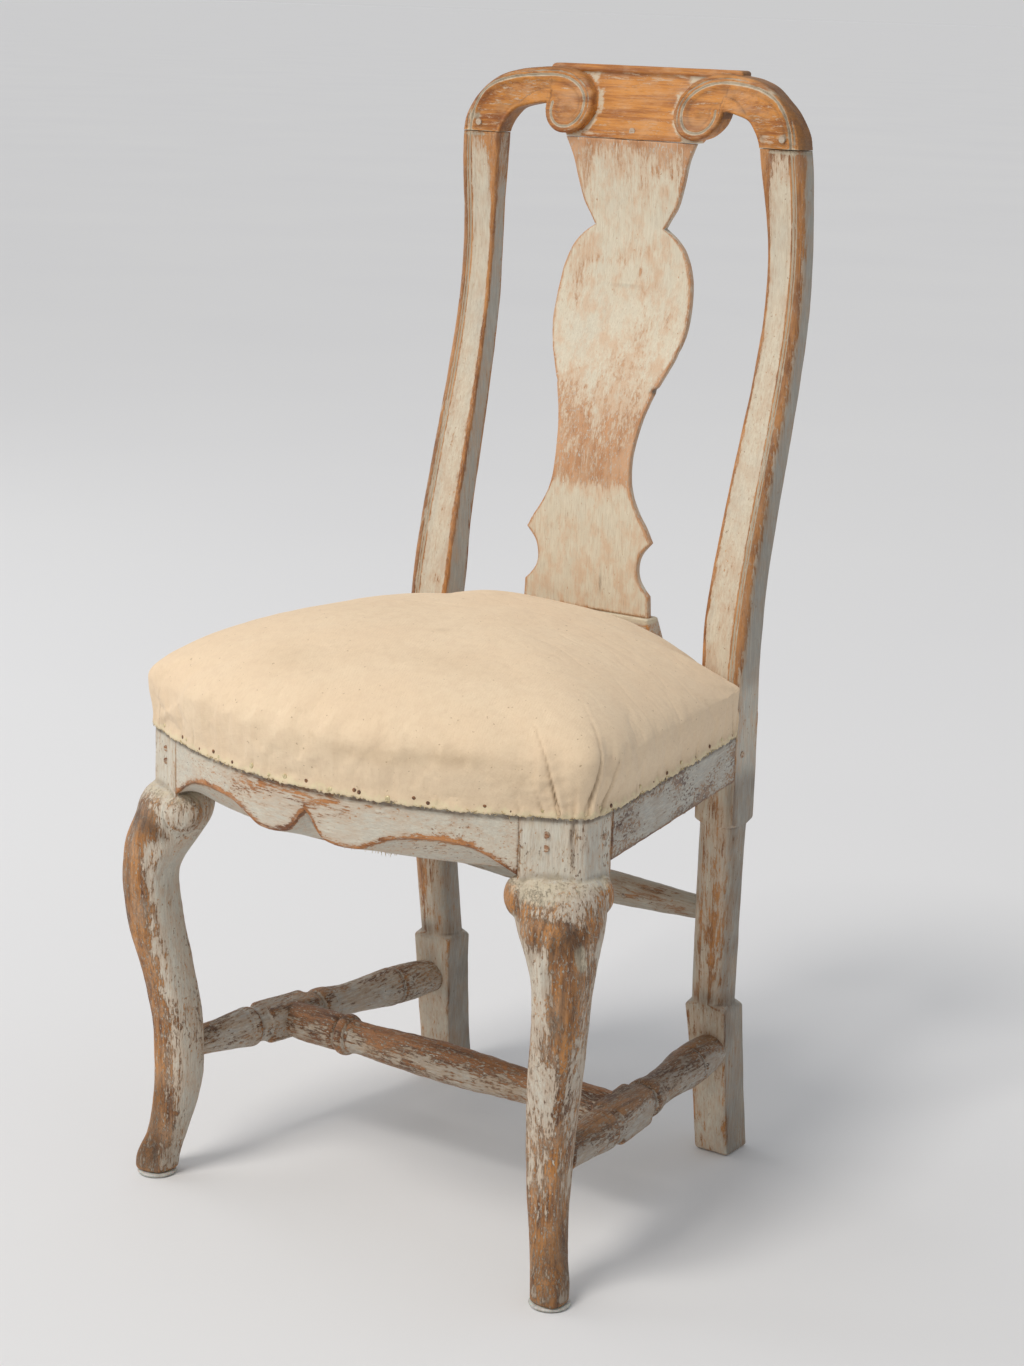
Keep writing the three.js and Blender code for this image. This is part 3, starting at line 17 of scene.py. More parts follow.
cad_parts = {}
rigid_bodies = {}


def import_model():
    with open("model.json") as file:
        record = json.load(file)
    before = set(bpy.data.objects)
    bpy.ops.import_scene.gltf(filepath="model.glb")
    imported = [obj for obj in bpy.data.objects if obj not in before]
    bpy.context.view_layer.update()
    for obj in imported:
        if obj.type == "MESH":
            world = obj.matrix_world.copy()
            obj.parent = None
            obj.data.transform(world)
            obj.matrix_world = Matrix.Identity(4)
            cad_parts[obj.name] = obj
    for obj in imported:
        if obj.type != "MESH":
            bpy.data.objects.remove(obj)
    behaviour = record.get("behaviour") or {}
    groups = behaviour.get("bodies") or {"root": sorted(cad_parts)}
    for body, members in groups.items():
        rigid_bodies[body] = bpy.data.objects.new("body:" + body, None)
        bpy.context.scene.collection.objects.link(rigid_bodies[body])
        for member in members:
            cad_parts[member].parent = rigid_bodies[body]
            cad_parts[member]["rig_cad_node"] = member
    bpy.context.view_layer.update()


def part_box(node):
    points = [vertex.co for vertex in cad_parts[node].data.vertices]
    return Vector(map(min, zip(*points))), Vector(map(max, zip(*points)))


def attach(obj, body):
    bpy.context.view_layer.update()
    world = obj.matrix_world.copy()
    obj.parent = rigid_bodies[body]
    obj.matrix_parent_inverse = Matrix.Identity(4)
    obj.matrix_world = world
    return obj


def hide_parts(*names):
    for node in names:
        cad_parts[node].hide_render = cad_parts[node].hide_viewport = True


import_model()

MM = 0.001
REAR_RAIL_FACE = 368.0
Y_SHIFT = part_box("rear_seat_rail")[0].y / MM - REAR_RAIL_FACE
SIDES = (("right", 1), ("left", -1))
TURN, DIAGONAL = 2 * math.pi, math.sqrt(0.5)

# Heights and plan of the frame
TOP, CREST_BOTTOM, RAIL_TOP, RAIL_BOTTOM, BLOCK_BOTTOM = 1057.0, 988.0, 462.0, 399.0, 391.0
JOINT_HALF, FRONT_HALF, BACK_HALF = 192.0, 243.0, 197.0
BLOCK_BACK, BLOCK_CORNER_Y = 68.0, 26.0
POST_FRONT, POST_DEPTH, POST_WIDTH = 357.0, 41.0, 43.0
POST_BLOCK_BOTTOM, FOOT_TOP = 357.0, 165.0
FRONT_BOW, GAP = 50.0, 0.3


# Curves and rings

def between(rows, at, column=1):
    """A smooth value between given rows, sorted by their first entry; at may be an array."""
    table = np.asarray(rows, float)
    x, y = table[:, 0], table[:, column]
    at = np.clip(np.asarray(at, float), x[0], x[-1])
    i = np.clip(np.searchsorted(x, at, side="left") - 1, 0, len(x) - 2)
    before, after = np.maximum(i - 1, 0), np.minimum(i + 2, len(x) - 1)
    step = x[i + 1] - x[i]
    start_slope = (y[i + 1] - y[before]) / (x[i + 1] - x[before])
    end_slope = (y[after] - y[i]) / (x[after] - x[i])
    rise = y[i + 1] - y[i]
    t = (at - x[i]) / step
    return (
        y[i] + step * start_slope * t
        + (3 * rise - step * (2 * start_slope + end_slope)) * t ** 2
        + (step * (start_slope + end_slope) - 2 * rise) * t ** 3
    )


def mix(a, b, share):
    return a + (b - a) * share


def ease(low, high, value):
    t = np.clip((np.asarray(value, float) - low) / (high - low), 0, 1)
    return t * t * (3 - 2 * t)


def hump(away, width):
    return np.exp(-(away / width) ** 2)


def spans(*runs):
    """Evenly stepped runs (start, stop, step) and single values, one after another."""
    return np.concatenate([np.arange(*run) if isinstance(run, tuple) else [run] for run in runs])


def rippled(a, b, c):
    """Noise at each place; each coordinate is an array or a single number."""
    return np.array([noise.noise(Vector(place)) for place in zip(*(v.ravel() for v in np.broadcast_arrays(a, b, c)))])


def curve_through(points, steps=10):
    """Points along a smooth curve through the given ones."""
    p = np.asarray(points, float)
    p = np.vstack([2 * p[0] - p[1], p, 2 * p[-1] - p[-2]])
    found = []
    for a, b, c, d in zip(p, p[1:], p[2:], p[3:]):
        for t in np.arange(steps) / steps:
            found.append(0.5 * (
                2 * b + (c - a) * t + (2 * a - 5 * b + 4 * c - d) * t ** 2
                + (3 * b - a - 3 * c + d) * t ** 3
            ))
    found.append(p[-2])
    return np.array(found)


def spaced(points, spacing):
    """The same closed path with points at an even spacing."""
    p = np.vstack([points, points[:1]])
    along = np.concatenate([[0], np.cumsum(np.linalg.norm(np.diff(p, axis=0), axis=1))])
    count = max(int(round(along[-1] / spacing)), 2)
    at = np.linspace(0, along[-1], count + 1)[:-1]
    return np.column_stack([np.interp(at, along, p[:, k]) for k in range(p.shape[1])])


def distance_to(path, points):
    """Shortest way from each point to a path of straight stretches, both in a plane."""
    nearest = np.full(len(points), 1e9)
    for a, b in zip(path[:-1], path[1:]):
        along = b - a
        t = np.clip(((points - a) @ along) / max(along @ along, 1e-9), 0, 1)
        nearest = np.minimum(nearest, np.linalg.norm(points - a - t[:, None] * along, axis=1))
    return nearest


def inside(outline, points):
    """Which points lie inside a closed outline."""
    found = np.zeros(len(points), bool)
    x, y = points.T
    for (x0, y0), (x1, y1) in zip(outline, np.roll(outline, -1, axis=0)):
        if y0 != y1:
            found ^= ((y0 > y) != (y1 > y)) & (x < (x1 - x0) * (y - y0) / (y1 - y0) + x0)
    return found


# Skins and pieces

def skin(rings, capped=True):
    """A grid laid over rings of points, wrapped round and closed at both ends."""
    rings = np.asarray(rings, float)
    rows, columns = rings.shape[:2]
    bm = bmesh.new()
    bmesh.ops.create_grid(bm, x_segments=columns, y_segments=rows - 1, size=0.5)
    for v in bm.verts:
        column = round((v.co.x + 0.5) * columns) % columns
        v.co = rings[round((v.co.y + 0.5) * (rows - 1)), column]
    bmesh.ops.remove_doubles(bm, verts=bm.verts, dist=0.002)
    open_edges = [e for e in bm.edges if e.is_boundary]
    if capped and open_edges:
        bmesh.ops.holes_fill(bm, edges=open_edges, sides=0)
    bmesh.ops.recalc_face_normals(bm, faces=bm.faces)
    return bm


def prism(plan, z0, z1):
    """An upright block over a plan."""
    bm = bmesh.new()
    base = bm.faces.new([bm.verts.new((x, y, z0)) for x, y in plan])
    made = bmesh.ops.extrude_face_region(bm, geom=[base])
    raised = [v for v in made["geom"] if isinstance(v, bmesh.types.BMVert)]
    bmesh.ops.translate(bm, verts=raised, vec=(0, 0, z1 - z0))
    bmesh.ops.recalc_face_normals(bm, faces=bm.faces)
    return bm


def add_in(bm, other):
    """Puts another mesh into this one as a shell of its own."""
    mesh = bpy.data.meshes.new("passing")
    other.to_mesh(mesh)
    bm.from_mesh(mesh)
    bpy.data.meshes.remove(mesh)
    other.free()


def set_at(bm, at, turn):
    """Turns a small mesh and moves it to its place."""
    bmesh.ops.transform(bm, matrix=Matrix.Translation(at) @ turn.to_4x4(), verts=bm.verts)
    return bm


def pointing(way):
    return Vector((0, 0, 1)).rotation_difference(way.normalized()).to_matrix()


def to_side(bm, side):
    """Mirrors a right-hand piece for the left."""
    if side < 0:
        bmesh.ops.scale(bm, vec=(-1, 1, 1), verts=bm.verts)
        bmesh.ops.reverse_faces(bm, faces=bm.faces)
    return bm


def in_scene(name, data):
    obj = bpy.data.objects.new(name, data)
    bpy.context.scene.collection.objects.link(obj)
    return obj


def mesh_of(bm, name):
    mesh = bpy.data.meshes.new(name)
    bm.to_mesh(mesh)
    bm.free()
    return mesh


def grown_together(bm, voxel, passes):
    """The shells of one mesh as a single carved body, with soft inner corners."""
    mesh = mesh_of(bm, "passing")
    body = in_scene("passing", mesh)
    remesh = body.modifiers.new("one_body", "REMESH")
    remesh.mode = "VOXEL"
    remesh.voxel_size = voxel
    made = bpy.data.meshes.new_from_object(body.evaluated_get(bpy.context.evaluated_depsgraph_get()))
    bpy.data.objects.remove(body)
    bpy.data.meshes.remove(mesh)
    bm = bmesh.new()
    bm.from_mesh(made)
    bpy.data.meshes.remove(made)
    for _ in range(passes):
        bmesh.ops.smooth_vert(
            bm, verts=bm.verts, factor=0.5, use_axis_x=True, use_axis_y=True, use_axis_z=True,
        )
    return bm


def hand_made(bm, size, depth, seed):
    """Slight unevenness of a hand-cut surface."""
    bm.normal_update()
    for v in bm.verts:
        wave = noise.noise(v.co / size + Vector((seed, 3.1 * seed, 1.7)))
        wave += 0.4 * noise.noise(v.co * (3.2 / size) + Vector((1.3 * seed, 5.0, seed)))
        v.co += v.normal * (depth * wave)
    return bm


def of_vertices(mesh, what="co"):
    found = np.empty(len(mesh.vertices) * 3)
    mesh.vertices.foreach_get(what, found)
    return found.reshape(-1, 3)


def averaged(values, ends, passes):
    """Values spread over neighbouring vertices."""
    (a, b), count = ends.T, len(values)
    shares = np.maximum(np.bincount(ends.ravel(), minlength=count), 1)
    for _ in range(passes):
        total = np.bincount(a, values[b], count) + np.bincount(b, values[a], count)
        values = 0.5 * values + 0.5 * total / shares
    return values


def roundness(mesh):
    """How sharply each vertex stands out, per millimetre: above 0 on an arris, below in a hollow."""
    co, normal = of_vertices(mesh), of_vertices(mesh, "normal")
    ends = np.empty(len(mesh.edges) * 2, int)
    mesh.edges.foreach_get("vertices", ends)
    ends = ends.reshape(-1, 2)
    a, b = ends.T
    way = co[b] - co[a]
    length = np.maximum((way ** 2).sum(1), 1e-6)
    total = np.bincount(a, -2 * (way * normal[a]).sum(1) / length, len(co))
    total += np.bincount(b, 2 * (way * normal[b]).sum(1) / length, len(co))
    shares = np.maximum(np.bincount(ends.ravel(), minlength=len(co)), 1)
    return co, normal, ends, np.clip(total / shares, -0.8, 0.8)


def in_spots(co, spots):
    """Sum of soft patches, each (x, y, z, reach in x, y, z, strength)."""
    total = np.zeros(len(co))
    for x, y, z, rx, ry, rz, strength in spots:
        total += strength * np.exp(-(((co - (x, y, z)) / (rx, ry, rz)) ** 2).sum(1))
    return total


def on_side(side, spots):
    return [(side * x, *rest) for x, *rest in spots]


def write_colour(mesh, name, channels):
    layer = mesh.attributes.new(name, "FLOAT_COLOR", "POINT")
    data = np.ones((len(mesh.vertices), 4), np.float32)
    for k, values in enumerate(channels):
        data[:, k] = np.clip(values, 0, 1)
    layer.data.foreach_set("color", data.ravel())


def piece(bm, name, material, nodes=(), finish=None):
    """A finished piece from a mesh in millimetres; finish gives its wear from its shape."""
    mesh = mesh_of(bm, name)
    mesh.shade_smooth()
    caps = np.array([p.loop_total for p in mesh.polygons]) > 4
    if caps.any():
        mesh.polygons.foreach_set("use_smooth", ~caps)
    if finish:
        finish(mesh)
    mesh.vertices.foreach_set("co", ((of_vertices(mesh) + (0, Y_SHIFT, 0)) * MM).ravel())
    mesh.update()
    obj = in_scene(name, mesh)
    mesh.materials.append(material)
    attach(obj, "root")
    if nodes:
        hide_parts(*nodes)
    return obj


def worn(edge=1.0, rubbed=(), pale=(), dirt=(), tone=None, spread=5, extra=None):
    """The wear of a painted piece: bare arrises, rubbed patches, pale filler, dirt and painted shade."""
    def finish(mesh):
        co, normal, ends, bend = roundness(mesh)
        soft = averaged(bend, ends, spread)
        hollow = np.clip(-soft * 8, 0, 1)
        x, y, z = co.T
        front = np.clip(-normal[:, 1], 0, 1)
        w = SimpleNamespace(
            co=co, x=x, y=y, z=z, normal=normal, front=front, arris=np.clip(soft * 9 * edge, 0, 1),
            bare=in_spots(co, rubbed), filler=in_spots(co, pale) + 0.25 * hollow,
            grime_and_shade=in_spots(co, dirt) + 0.55 * hollow,
            # Faces turned to the front are creamier than the sides: partly the paint, partly painted shade on the
            # sides.
            warm=front ** 1.5 if tone is None else tone,
        )
        if extra:
            extra(w)
        write_colour(mesh, "finish", (w.arris, w.bare, w.filler))
        write_colour(mesh, "ground", (w.warm, w.grime_and_shade, hollow))
    return finish


# Shader sums and groups

class Wave:
    """A value that varies over a surface: a node's output, whose sums become Math nodes."""

    def __init__(self, socket):
        self.socket = socket

    def __add__(self, other):
        return maths("ADD", self, other)

    def __sub__(self, other):
        return maths("SUBTRACT", self, other)

    def __rsub__(self, other):
        return maths("SUBTRACT", other, self)

    def __mul__(self, other):
        return maths("MULTIPLY", self, other)

    def output(self, label):
        """Another output of the same node."""
        return Wave(self.socket.node.outputs[label])


def feed(socket, value):
    """Links a wave to an input, or sets a value that is the same all over."""
    if isinstance(value, Wave):
        socket.id_data.links.new(value.socket, socket)
    else:
        socket.default_value = value


def node(kind, inputs, tree=None, out=0, **settings):
    """Adds a node to the tree that its inputs are in, and gives back one of its outputs."""
    tree = tree or next(v for v in inputs.values() if isinstance(v, Wave)).socket.id_data
    made = tree.nodes.new(kind)
    for key, value in settings.items():
        setattr(made, key, value)
    for key, value in inputs.items():
        feed(made.inputs[key], value)
    return Wave(made.outputs[out])


def maths(operation, a, b, clamp=False):
    return node("ShaderNodeMath", {0: a, 1: b}, operation=operation, use_clamp=clamp)


def opaque(colour):
    return colour if isinstance(colour, Wave) else (*colour, 1)


def blended(share, first, second):
    return node("ShaderNodeMix", {0: share, 6: opaque(first), 7: opaque(second)}, out=2, data_type="RGBA")


def layered(colour, *coats):
    """Coats of (share, tint) over a colour, one after another."""
    for share, tint in coats:
        colour = blended(share, colour, tint)
    return colour


def stepped(value, low, high):
    """0 below low, 1 above high, smooth between."""
    inputs = {"Value": value, "From Min": low, "From Max": high}
    return node("ShaderNodeMapRange", inputs, interpolation_type="SMOOTHSTEP")


def centred(value, gain):
    return (value - 0.5) * gain


def grainy(where, scale, detail=4.0, rough=0.55, pull=None):
    """Noise; pull under 1 draws it out, along Z or along the axes of three numbers."""
    if pull:
        pull = pull if isinstance(pull, tuple) else (1, 1, pull)
        where = node("ShaderNodeVectorMath", {0: where, 1: pull}, operation="MULTIPLY")
    inputs = {"Vector": where, "Scale": scale, "Detail": detail, "Roughness": rough}
    return node("ShaderNodeTexNoise", inputs, out="Fac")


def parts(wave, kind="Color"):
    return [Wave(s) for s in node("ShaderNodeSeparate" + kind, {0: wave}).socket.node.outputs]


def new_group(name, inputs, outputs):
    """An empty group; an input without a value is a vector, and one with four numbers a colour."""
    tree = bpy.data.node_groups.new(name, "ShaderNodeTree")
    for label, value in inputs.items():
        kind = "Vector" if value is None else "Color" if isinstance(value, tuple) else "Float"
        socket = tree.interface.new_socket(label, in_out="INPUT", socket_type="NodeSocket" + kind)
        if value is not None:
            socket.default_value = value
    for label in outputs:
        kind = "Color" if label == "Color" else "Float"
        tree.interface.new_socket(label, in_out="OUTPUT", socket_type="NodeSocket" + kind)
    given, out = tree.nodes.new("NodeGroupInput"), tree.nodes.new("NodeGroupOutput")
    return tree, {label: Wave(given.outputs[label]) for label in inputs}, out.inputs


def wood_grain_group():
    """Old orange-brown wood: long fibres, darker streaks and open pores. Z runs along the grain."""
    tree, given, out = new_group(
        "wood_grain", {"Vector": None, "Light": (0.6, 0.3, 0.1, 1), "Dark": (0.25, 0.1, 0.04, 1)}, ("Color", "Height"),
    )
    where = given["Vector"]
    fibres = grainy(where, 620, 5, 0.6, 0.035)
    depth = fibres * 0.35 + grainy(where, 130, 4, 0.6, 0.08) * 0.45 + grainy(where, 35, 3, 0.5, 0.4) * 0.35
    pores = stepped(grainy(where, 1500, 2, 0.5, 0.06), 0.62, 0.72)
    colour = blended(stepped(depth, 0.44, 0.68), given["Dark"], given["Light"])
    feed(out["Color"], blended(pores * 0.45, colour, (0.09, 0.035, 0.015)))
    feed(out["Height"], fibres - pores * 0.5)
    return tree


def old_paint_group():
    """Thin old paint over an undercoat over wood, rubbed through along the arrises."""
    tree, g, out = new_group(
        "old_paint",
        {
            "Vector": None, "Arris": 0.0, "Rubbed": 0.0, "Filler": 0.0, "Dirt And Shade": 0.0, "Tone": 0.5,
            "Warm Paint": (0.6, 0.55, 0.42, 1), "Cool Paint": (0.42, 0.42, 0.38, 1),
            "Undercoat": (0.6, 0.4, 0.26, 1), "Wood Light": (0.6, 0.3, 0.1, 1), "Wood Dark": (0.25, 0.1, 0.04, 1),
            "Wear": 0.0, "Specks": 0.3, "Film": 0.2, "Blotches": 0.5, "Softness": 0.06, "Chips": 0.3,
        },
        ("Color", "Roughness", "Height"),
    )
    where = g["Vector"]
    flakes = grainy(where, 430, 9, 0.76, 0.1)
    chips = grainy(where, 150, 9, 0.74, 0.34)
    broad = grainy(where, 26, 4, 0.55, 0.45)
    patches = grainy(where, 62, 7, 0.62, 0.6)
    brush = grainy(where, 560, 6, 0.7, 0.1)
    hairs = grainy(where, 1300, 5, 0.65, 0.06)
    uneven = centred(flakes, 2.1) + centred(chips, 1.5) + centred(broad, 0.7)
    worn_share = g["Arris"] * 0.7 + g["Rubbed"] * 0.75 + g["Wear"] + uneven
    bare = stepped(worn_share, 0.46 - g["Softness"], g["Softness"] + 0.46)
    thin = stepped(worn_share, -0.06, 0.46)

    # Brushed paint, warmer and cooler in clouds, with its undercoat coming through
    # The piece's tone is partly painted shade on faces turned from the front.
    tone = maths("ADD", g["Tone"], centred(broad, 1.5), clamp=True)
    dents = grainy(where, 400, 4, 0.6, 0.55) + stepped(broad, 0.34, 0.62) * g["Chips"] * 0.2
    dents = stepped(dents, 0.69, 0.725)
    colour = layered(
        blended(tone, g["Cool Paint"], g["Warm Paint"]),
        (stepped(brush, 0.4, 0.66) * 0.34, (0.84, 0.775, 0.63)),
        (stepped(patches, 0.44, 0.66) * g["Blotches"], g["Undercoat"]),
        (stepped(hairs, 0.52, 0.68) * 0.38, (0.40, 0.27, 0.17)),
        (thin * 0.62, g["Undercoat"]),
        (dents * 0.72, blended(stepped(patches, 0.4, 0.56), g["Wood Dark"], g["Wood Light"])),
    )

    # Bare wood with a thin pale film left in patches and flecks of paint in its pores
    wood = node(
        "ShaderNodeGroup", {"Vector": where, "Light": g["Wood Light"], "Dark": g["Wood Dark"]}, node_tree=GRAIN,
    )
    film = stepped(patches * 0.5 + broad * 0.25 + flakes * 0.25, 0.46, 0.6) * g["Film"]
    flecks = stepped(grainy(where, 640, 5, 0.7, 0.3), 0.54, 0.61)
    flecks = flecks * bare * stepped(chips, 0.38, 0.56) * g["Specks"]
    filled = stepped(maths("MULTIPLY", g["Filler"], centred(chips, 2.6) + 0.8, clamp=True), 0.22, 0.5)
    # Dirt and painted shade from the piece's attribute darken the colour.
    grime_and_shade = maths("MULTIPLY", g["Dirt And Shade"], flakes + 0.3, clamp=True)
    feed(out["Color"], layered(
        colour, (bare, blended(film, wood, g["Undercoat"])), (flecks, (0.60, 0.56, 0.47)),
        (filled * 0.85, (0.66, 0.575, 0.42)), (grime_and_shade * 0.85, (0.075, 0.042, 0.022)),
    ))
    feed(out["Roughness"], 0.62 - bare * 0.12 + centred(brush, 0.3))
    height = 1.0 - bare * 0.8 - thin * 0.25 + brush * 0.35 + hairs * 0.2 + wood.output("Height") * 0.4
    feed(out["Height"], height - dents * 0.4 + flecks * 0.6)
    return tree


def weave_group():
    """Plain-woven cloth on a flat map in metres: threads over and under, with uneven yarns."""
    tree, given, out = new_group("plain_weave", {"Vector": None, "Threads": 1200.0}, ("Height", "Shade"))
    where, turns = given["Vector"], given["Threads"] * math.pi
    warp, weft = (
        node("ShaderNodeMath", {0: across * turns}, operation="SINE") for across in parts(where, "XYZ")[:2]
    )
    slubs = grainy(where, 900, 3, 0.6, (1, 0.04, 1)) + grainy(where, 900, 3, 0.6, (0.04, 1, 1))
    feed(out["Height"], warp * weft * 0.3 + slubs)
    feed(out["Shade"], slubs * 0.5)
    return tree


GRAIN = wood_grain_group()
PAINT = old_paint_group()
WEAVE = weave_group()


# Materials

def blank(name):
    """A new material and the place on the piece that its patterns are drawn on."""
    material = bpy.data.materials.new(name)
    material.use_nodes = True
    return material, node("ShaderNodeTexCoord", {}, tree=material.node_tree, out="Object")


def marks(where, name):
    tree = where.socket.id_data
    return parts(node("ShaderNodeAttribute", {}, tree=tree, out="Color", attribute_name=name))


def clad(material, colour, roughness, height=None, strength=0.5, distance=0.001, **plain):
    """Feeds the shader its colour, roughness and relief, and numbers that are the same all over."""
    shader = material.node_tree.nodes["Principled BSDF"].inputs
    feed(shader["Base Color"], colour)
    feed(shader["Roughness"], roughness)
    if height:
        relief = {"Height": height, "Strength": strength, "Distance": distance}
        feed(shader["Normal"], node("ShaderNodeBump", relief))
    for label, value in plain.items():
        shader[label.replace("_", " ")].default_value = value
    return material


def painted(name, along, warm, cool, undercoat, light, dark, bump=0.5, **levels):
    """Old paint over wood whose grain runs along an axis, worn where the piece's attributes say."""
    material, where = blank(name)
    if along != "Z":
        turn = (0, math.pi / 2, 0) if along == "X" else (math.pi / 2, 0, 0)
        where = node("ShaderNodeMapping", {"Vector": where, "Rotation": turn})
    inputs = dict(zip(("Arris", "Rubbed", "Filler"), marks(where, "finish")))
    inputs.update(zip(("Tone", "Dirt And Shade"), marks(where, "ground")))
    inputs.update({
        "Vector": where, "Warm Paint": (*warm, 1), "Cool Paint": (*cool, 1), "Undercoat": (*undercoat, 1),
        "Wood Light": (*light, 1), "Wood Dark": (*dark, 1),
    })
    inputs.update({key.capitalize(): value for key, value in levels.items()})
    coat = node("ShaderNodeGroup", inputs, node_tree=PAINT)
    return clad(
        material, coat, coat.output("Roughness"), coat.output("Height"), bump, 0.0009, Specular_IOR_Level=0.35,
    )


TAN, ORANGE, BROWN = (0.575, 0.38, 0.24), (0.56, 0.25, 0.08), (0.22, 0.085, 0.03)
PEG_PAINT = (0.52, 0.46, 0.36), (0.42, 0.38, 0.31), TAN

post_paint = painted(
    "post_paint", "Z", (0.66, 0.575, 0.435), (0.44, 0.43, 0.385), TAN, ORANGE, BROWN,
    wear=-0.06, blotches=0.34, softness=0.08, chips=0.25,
)
splat_paint = painted(
    "splat_paint", "Z", (0.68, 0.60, 0.455), (0.535, 0.515, 0.43), (0.65, 0.42, 0.258), (0.61, 0.33, 0.17),
    (0.43, 0.2, 0.085), wear=-0.12, blotches=0.6, specks=0.9, softness=0.15, film=0.6, chips=0.15, bump=0.45,
)
leg_paint = painted(
    "leg_paint", "Z", (0.68, 0.62, 0.505), (0.49, 0.475, 0.42), (0.57, 0.40, 0.27), (0.56, 0.245, 0.068),
    (0.115, 0.046, 0.02), wear=0.02, specks=1.0, film=0.4, blotches=0.35, softness=0.075, chips=0.7, bump=0.9,
)
apron_paint = painted(
    "apron_paint", "X", (0.62, 0.565, 0.455), (0.475, 0.46, 0.405), (0.57, 0.40, 0.27), (0.52, 0.21, 0.06),
    (0.16, 0.06, 0.025), wear=-0.02, blotches=0.3, softness=0.05, chips=0.5,
)
rail_paint = painted(
    "rail_paint", "Y", (0.53, 0.495, 0.42), (0.44, 0.43, 0.39), (0.42, 0.33, 0.25), (0.36, 0.19, 0.09),
    (0.10, 0.042, 0.03), wear=0.02, specks=0.7, blotches=0.3, softness=0.04, chips=1.3, bump=0.8,
)
rear_rail_paint = painted(
    "rear_rail_paint", "X", (0.48, 0.44, 0.36), (0.40, 0.39, 0.345), (0.42, 0.30, 0.2), (0.4, 0.2, 0.09),
    (0.12, 0.06, 0.035), wear=0.03, blotches=0.4, chips=0.5,
)
crest_finish = painted(
    "crest_finish", "X", (0.58, 0.43, 0.3), (0.42, 0.37, 0.29), (0.62, 0.37, 0.2), (0.64, 0.262, 0.052),
    (0.29, 0.09, 0.018), wear=0.68, specks=0.1, film=0.45, chips=0.25, bump=0.4,
)
shoe_finish = painted(
    "shoe_finish", "X", (0.58, 0.52, 0.41), (0.44, 0.43, 0.38), TAN, ORANGE, BROWN, wear=0.05,
)
side_bar_paint = painted(
    "side_stretcher_paint", "Y", (0.50, 0.46, 0.39), (0.38, 0.37, 0.35), (0.42, 0.30, 0.2), (0.44, 0.21, 0.08),
    (0.09, 0.042, 0.026), wear=0.1, specks=0.9, softness=0.045, chips=0.8, bump=0.8,
)
cross_bar_paint = painted(
    "cross_stretcher_paint", "X", (0.52, 0.47, 0.39), (0.40, 0.38, 0.34), (0.42, 0.28, 0.17), (0.40, 0.17, 0.06),
    (0.08, 0.035, 0.02), wear=0.25, specks=1.0, softness=0.045, chips=0.6, bump=0.8,
)
peg_finish = painted("peg_finish", "X", *PEG_PAINT, (0.40, 0.18, 0.07), (0.13, 0.055, 0.028), wear=0.25)
rail_peg_finish = painted("rail_peg_finish", "X", *PEG_PAINT, (0.36, 0.16, 0.07), (0.12, 0.05, 0.026), wear=0.42)


def muslin_material():
    """Unbleached cloth, mottled and soiled, with a paler raw edge, painted shade low on its sides and painted shade in
    its folds.
    """
    material, where = blank("muslin_cloth")
    flat = node("ShaderNodeUVMap", {}, tree=material.node_tree, uv_map="cloth")
    raw, soil_and_shade, pleat_shade_mask = marks(where, "finish")
    weave = node("ShaderNodeGroup", {"Vector": flat, "Threads": 1100.0}, node_tree=WEAVE)
    mottle = grainy(where, 75, 6, 0.66, 1.6)
    fibres = grainy(flat, 330, 7, 0.78, (1, 0.45, 1))
    colour = layered(
        blended(stepped(grainy(where, 9, 4, 0.6), 0.3, 0.7), (0.805, 0.61, 0.41), (0.83, 0.65, 0.447)),
        (stepped(mottle, 0.44, 0.64) * 0.34, (0.73, 0.54, 0.365)),
        (stepped(fibres, 0.46, 0.66) * 0.3, (0.66, 0.49, 0.31)),
        (weave.output("Shade") * 0.16, (0.93, 0.80, 0.60)),
        (stepped(grainy(where, 260, 2, 0.4), 0.725, 0.76) * 0.5, (0.30, 0.19, 0.1)),
        # Soil, with painted shade low on the seat's sides
        (maths("MULTIPLY", soil_and_shade, mottle + 0.2, clamp=True) * 0.7, (0.47, 0.34, 0.205)),
        (maths("MULTIPLY", raw, stepped(fibres, 0.36, 0.6), clamp=True) * 0.75, (0.78, 0.68, 0.43)),
        # Painted shade in the hollows of the pleats
        (pleat_shade_mask * 0.85, (0.24, 0.155, 0.085)),
    )
    height = weave + mottle * 1.4 + fibres * 1.6
    return clad(material, colour, 0.92, height, 0.3, Sheen_Weight=0.12, Specular_IOR_Level=0.15)


def woven_material(name, light, dark, threads, cloudy=60):
    """Coarse woven stuff on object coordinates."""
    material, where = blank(name)
    weave = node("ShaderNodeGroup", {"Vector": where, "Threads": threads}, node_tree=WEAVE)
    colour = blended(stepped(grainy(where, cloudy, 5, 0.6), 0.35, 0.65), dark, light)
    return clad(material, blended(stepped(weave, 0.6, 1.4) * 0.35, colour, light), 0.95, weave)


def tack_material(name, light, dark, metallic):
    material, where = blank(name)
    rust = grainy(where, 420, 5, 0.65)
    colour = blended(stepped(rust, 0.4, 0.62), light, dark)
    return clad(material, colour, rust * 0.5 + 0.25, rust, 0.4, 0.0004, Metallic=metallic)


def glide_material():
    material, where = blank("glide_nylon")
    scuffs = grainy(where, 260, 5, 0.6)
    colour = blended(stepped(scuffs, 0.4, 0.7), (0.52, 0.51, 0.46), (0.36, 0.345, 0.30))
    plain = {"Subsurface Weight": 0.2, "Subsurface Scale": 0.004}
    return clad(material, colour, scuffs * 0.3 + 0.22, scuffs, 0.2, 0.0004, **plain)


def floor_material():
    material, where = blank("studio_floor")
    colour = blended(grainy(where, 0.8, 2, 0.5), (0.74, 0.735, 0.74), (0.78, 0.775, 0.77))
    return clad(material, colour, 0.7, Specular_IOR_Level=0.2)


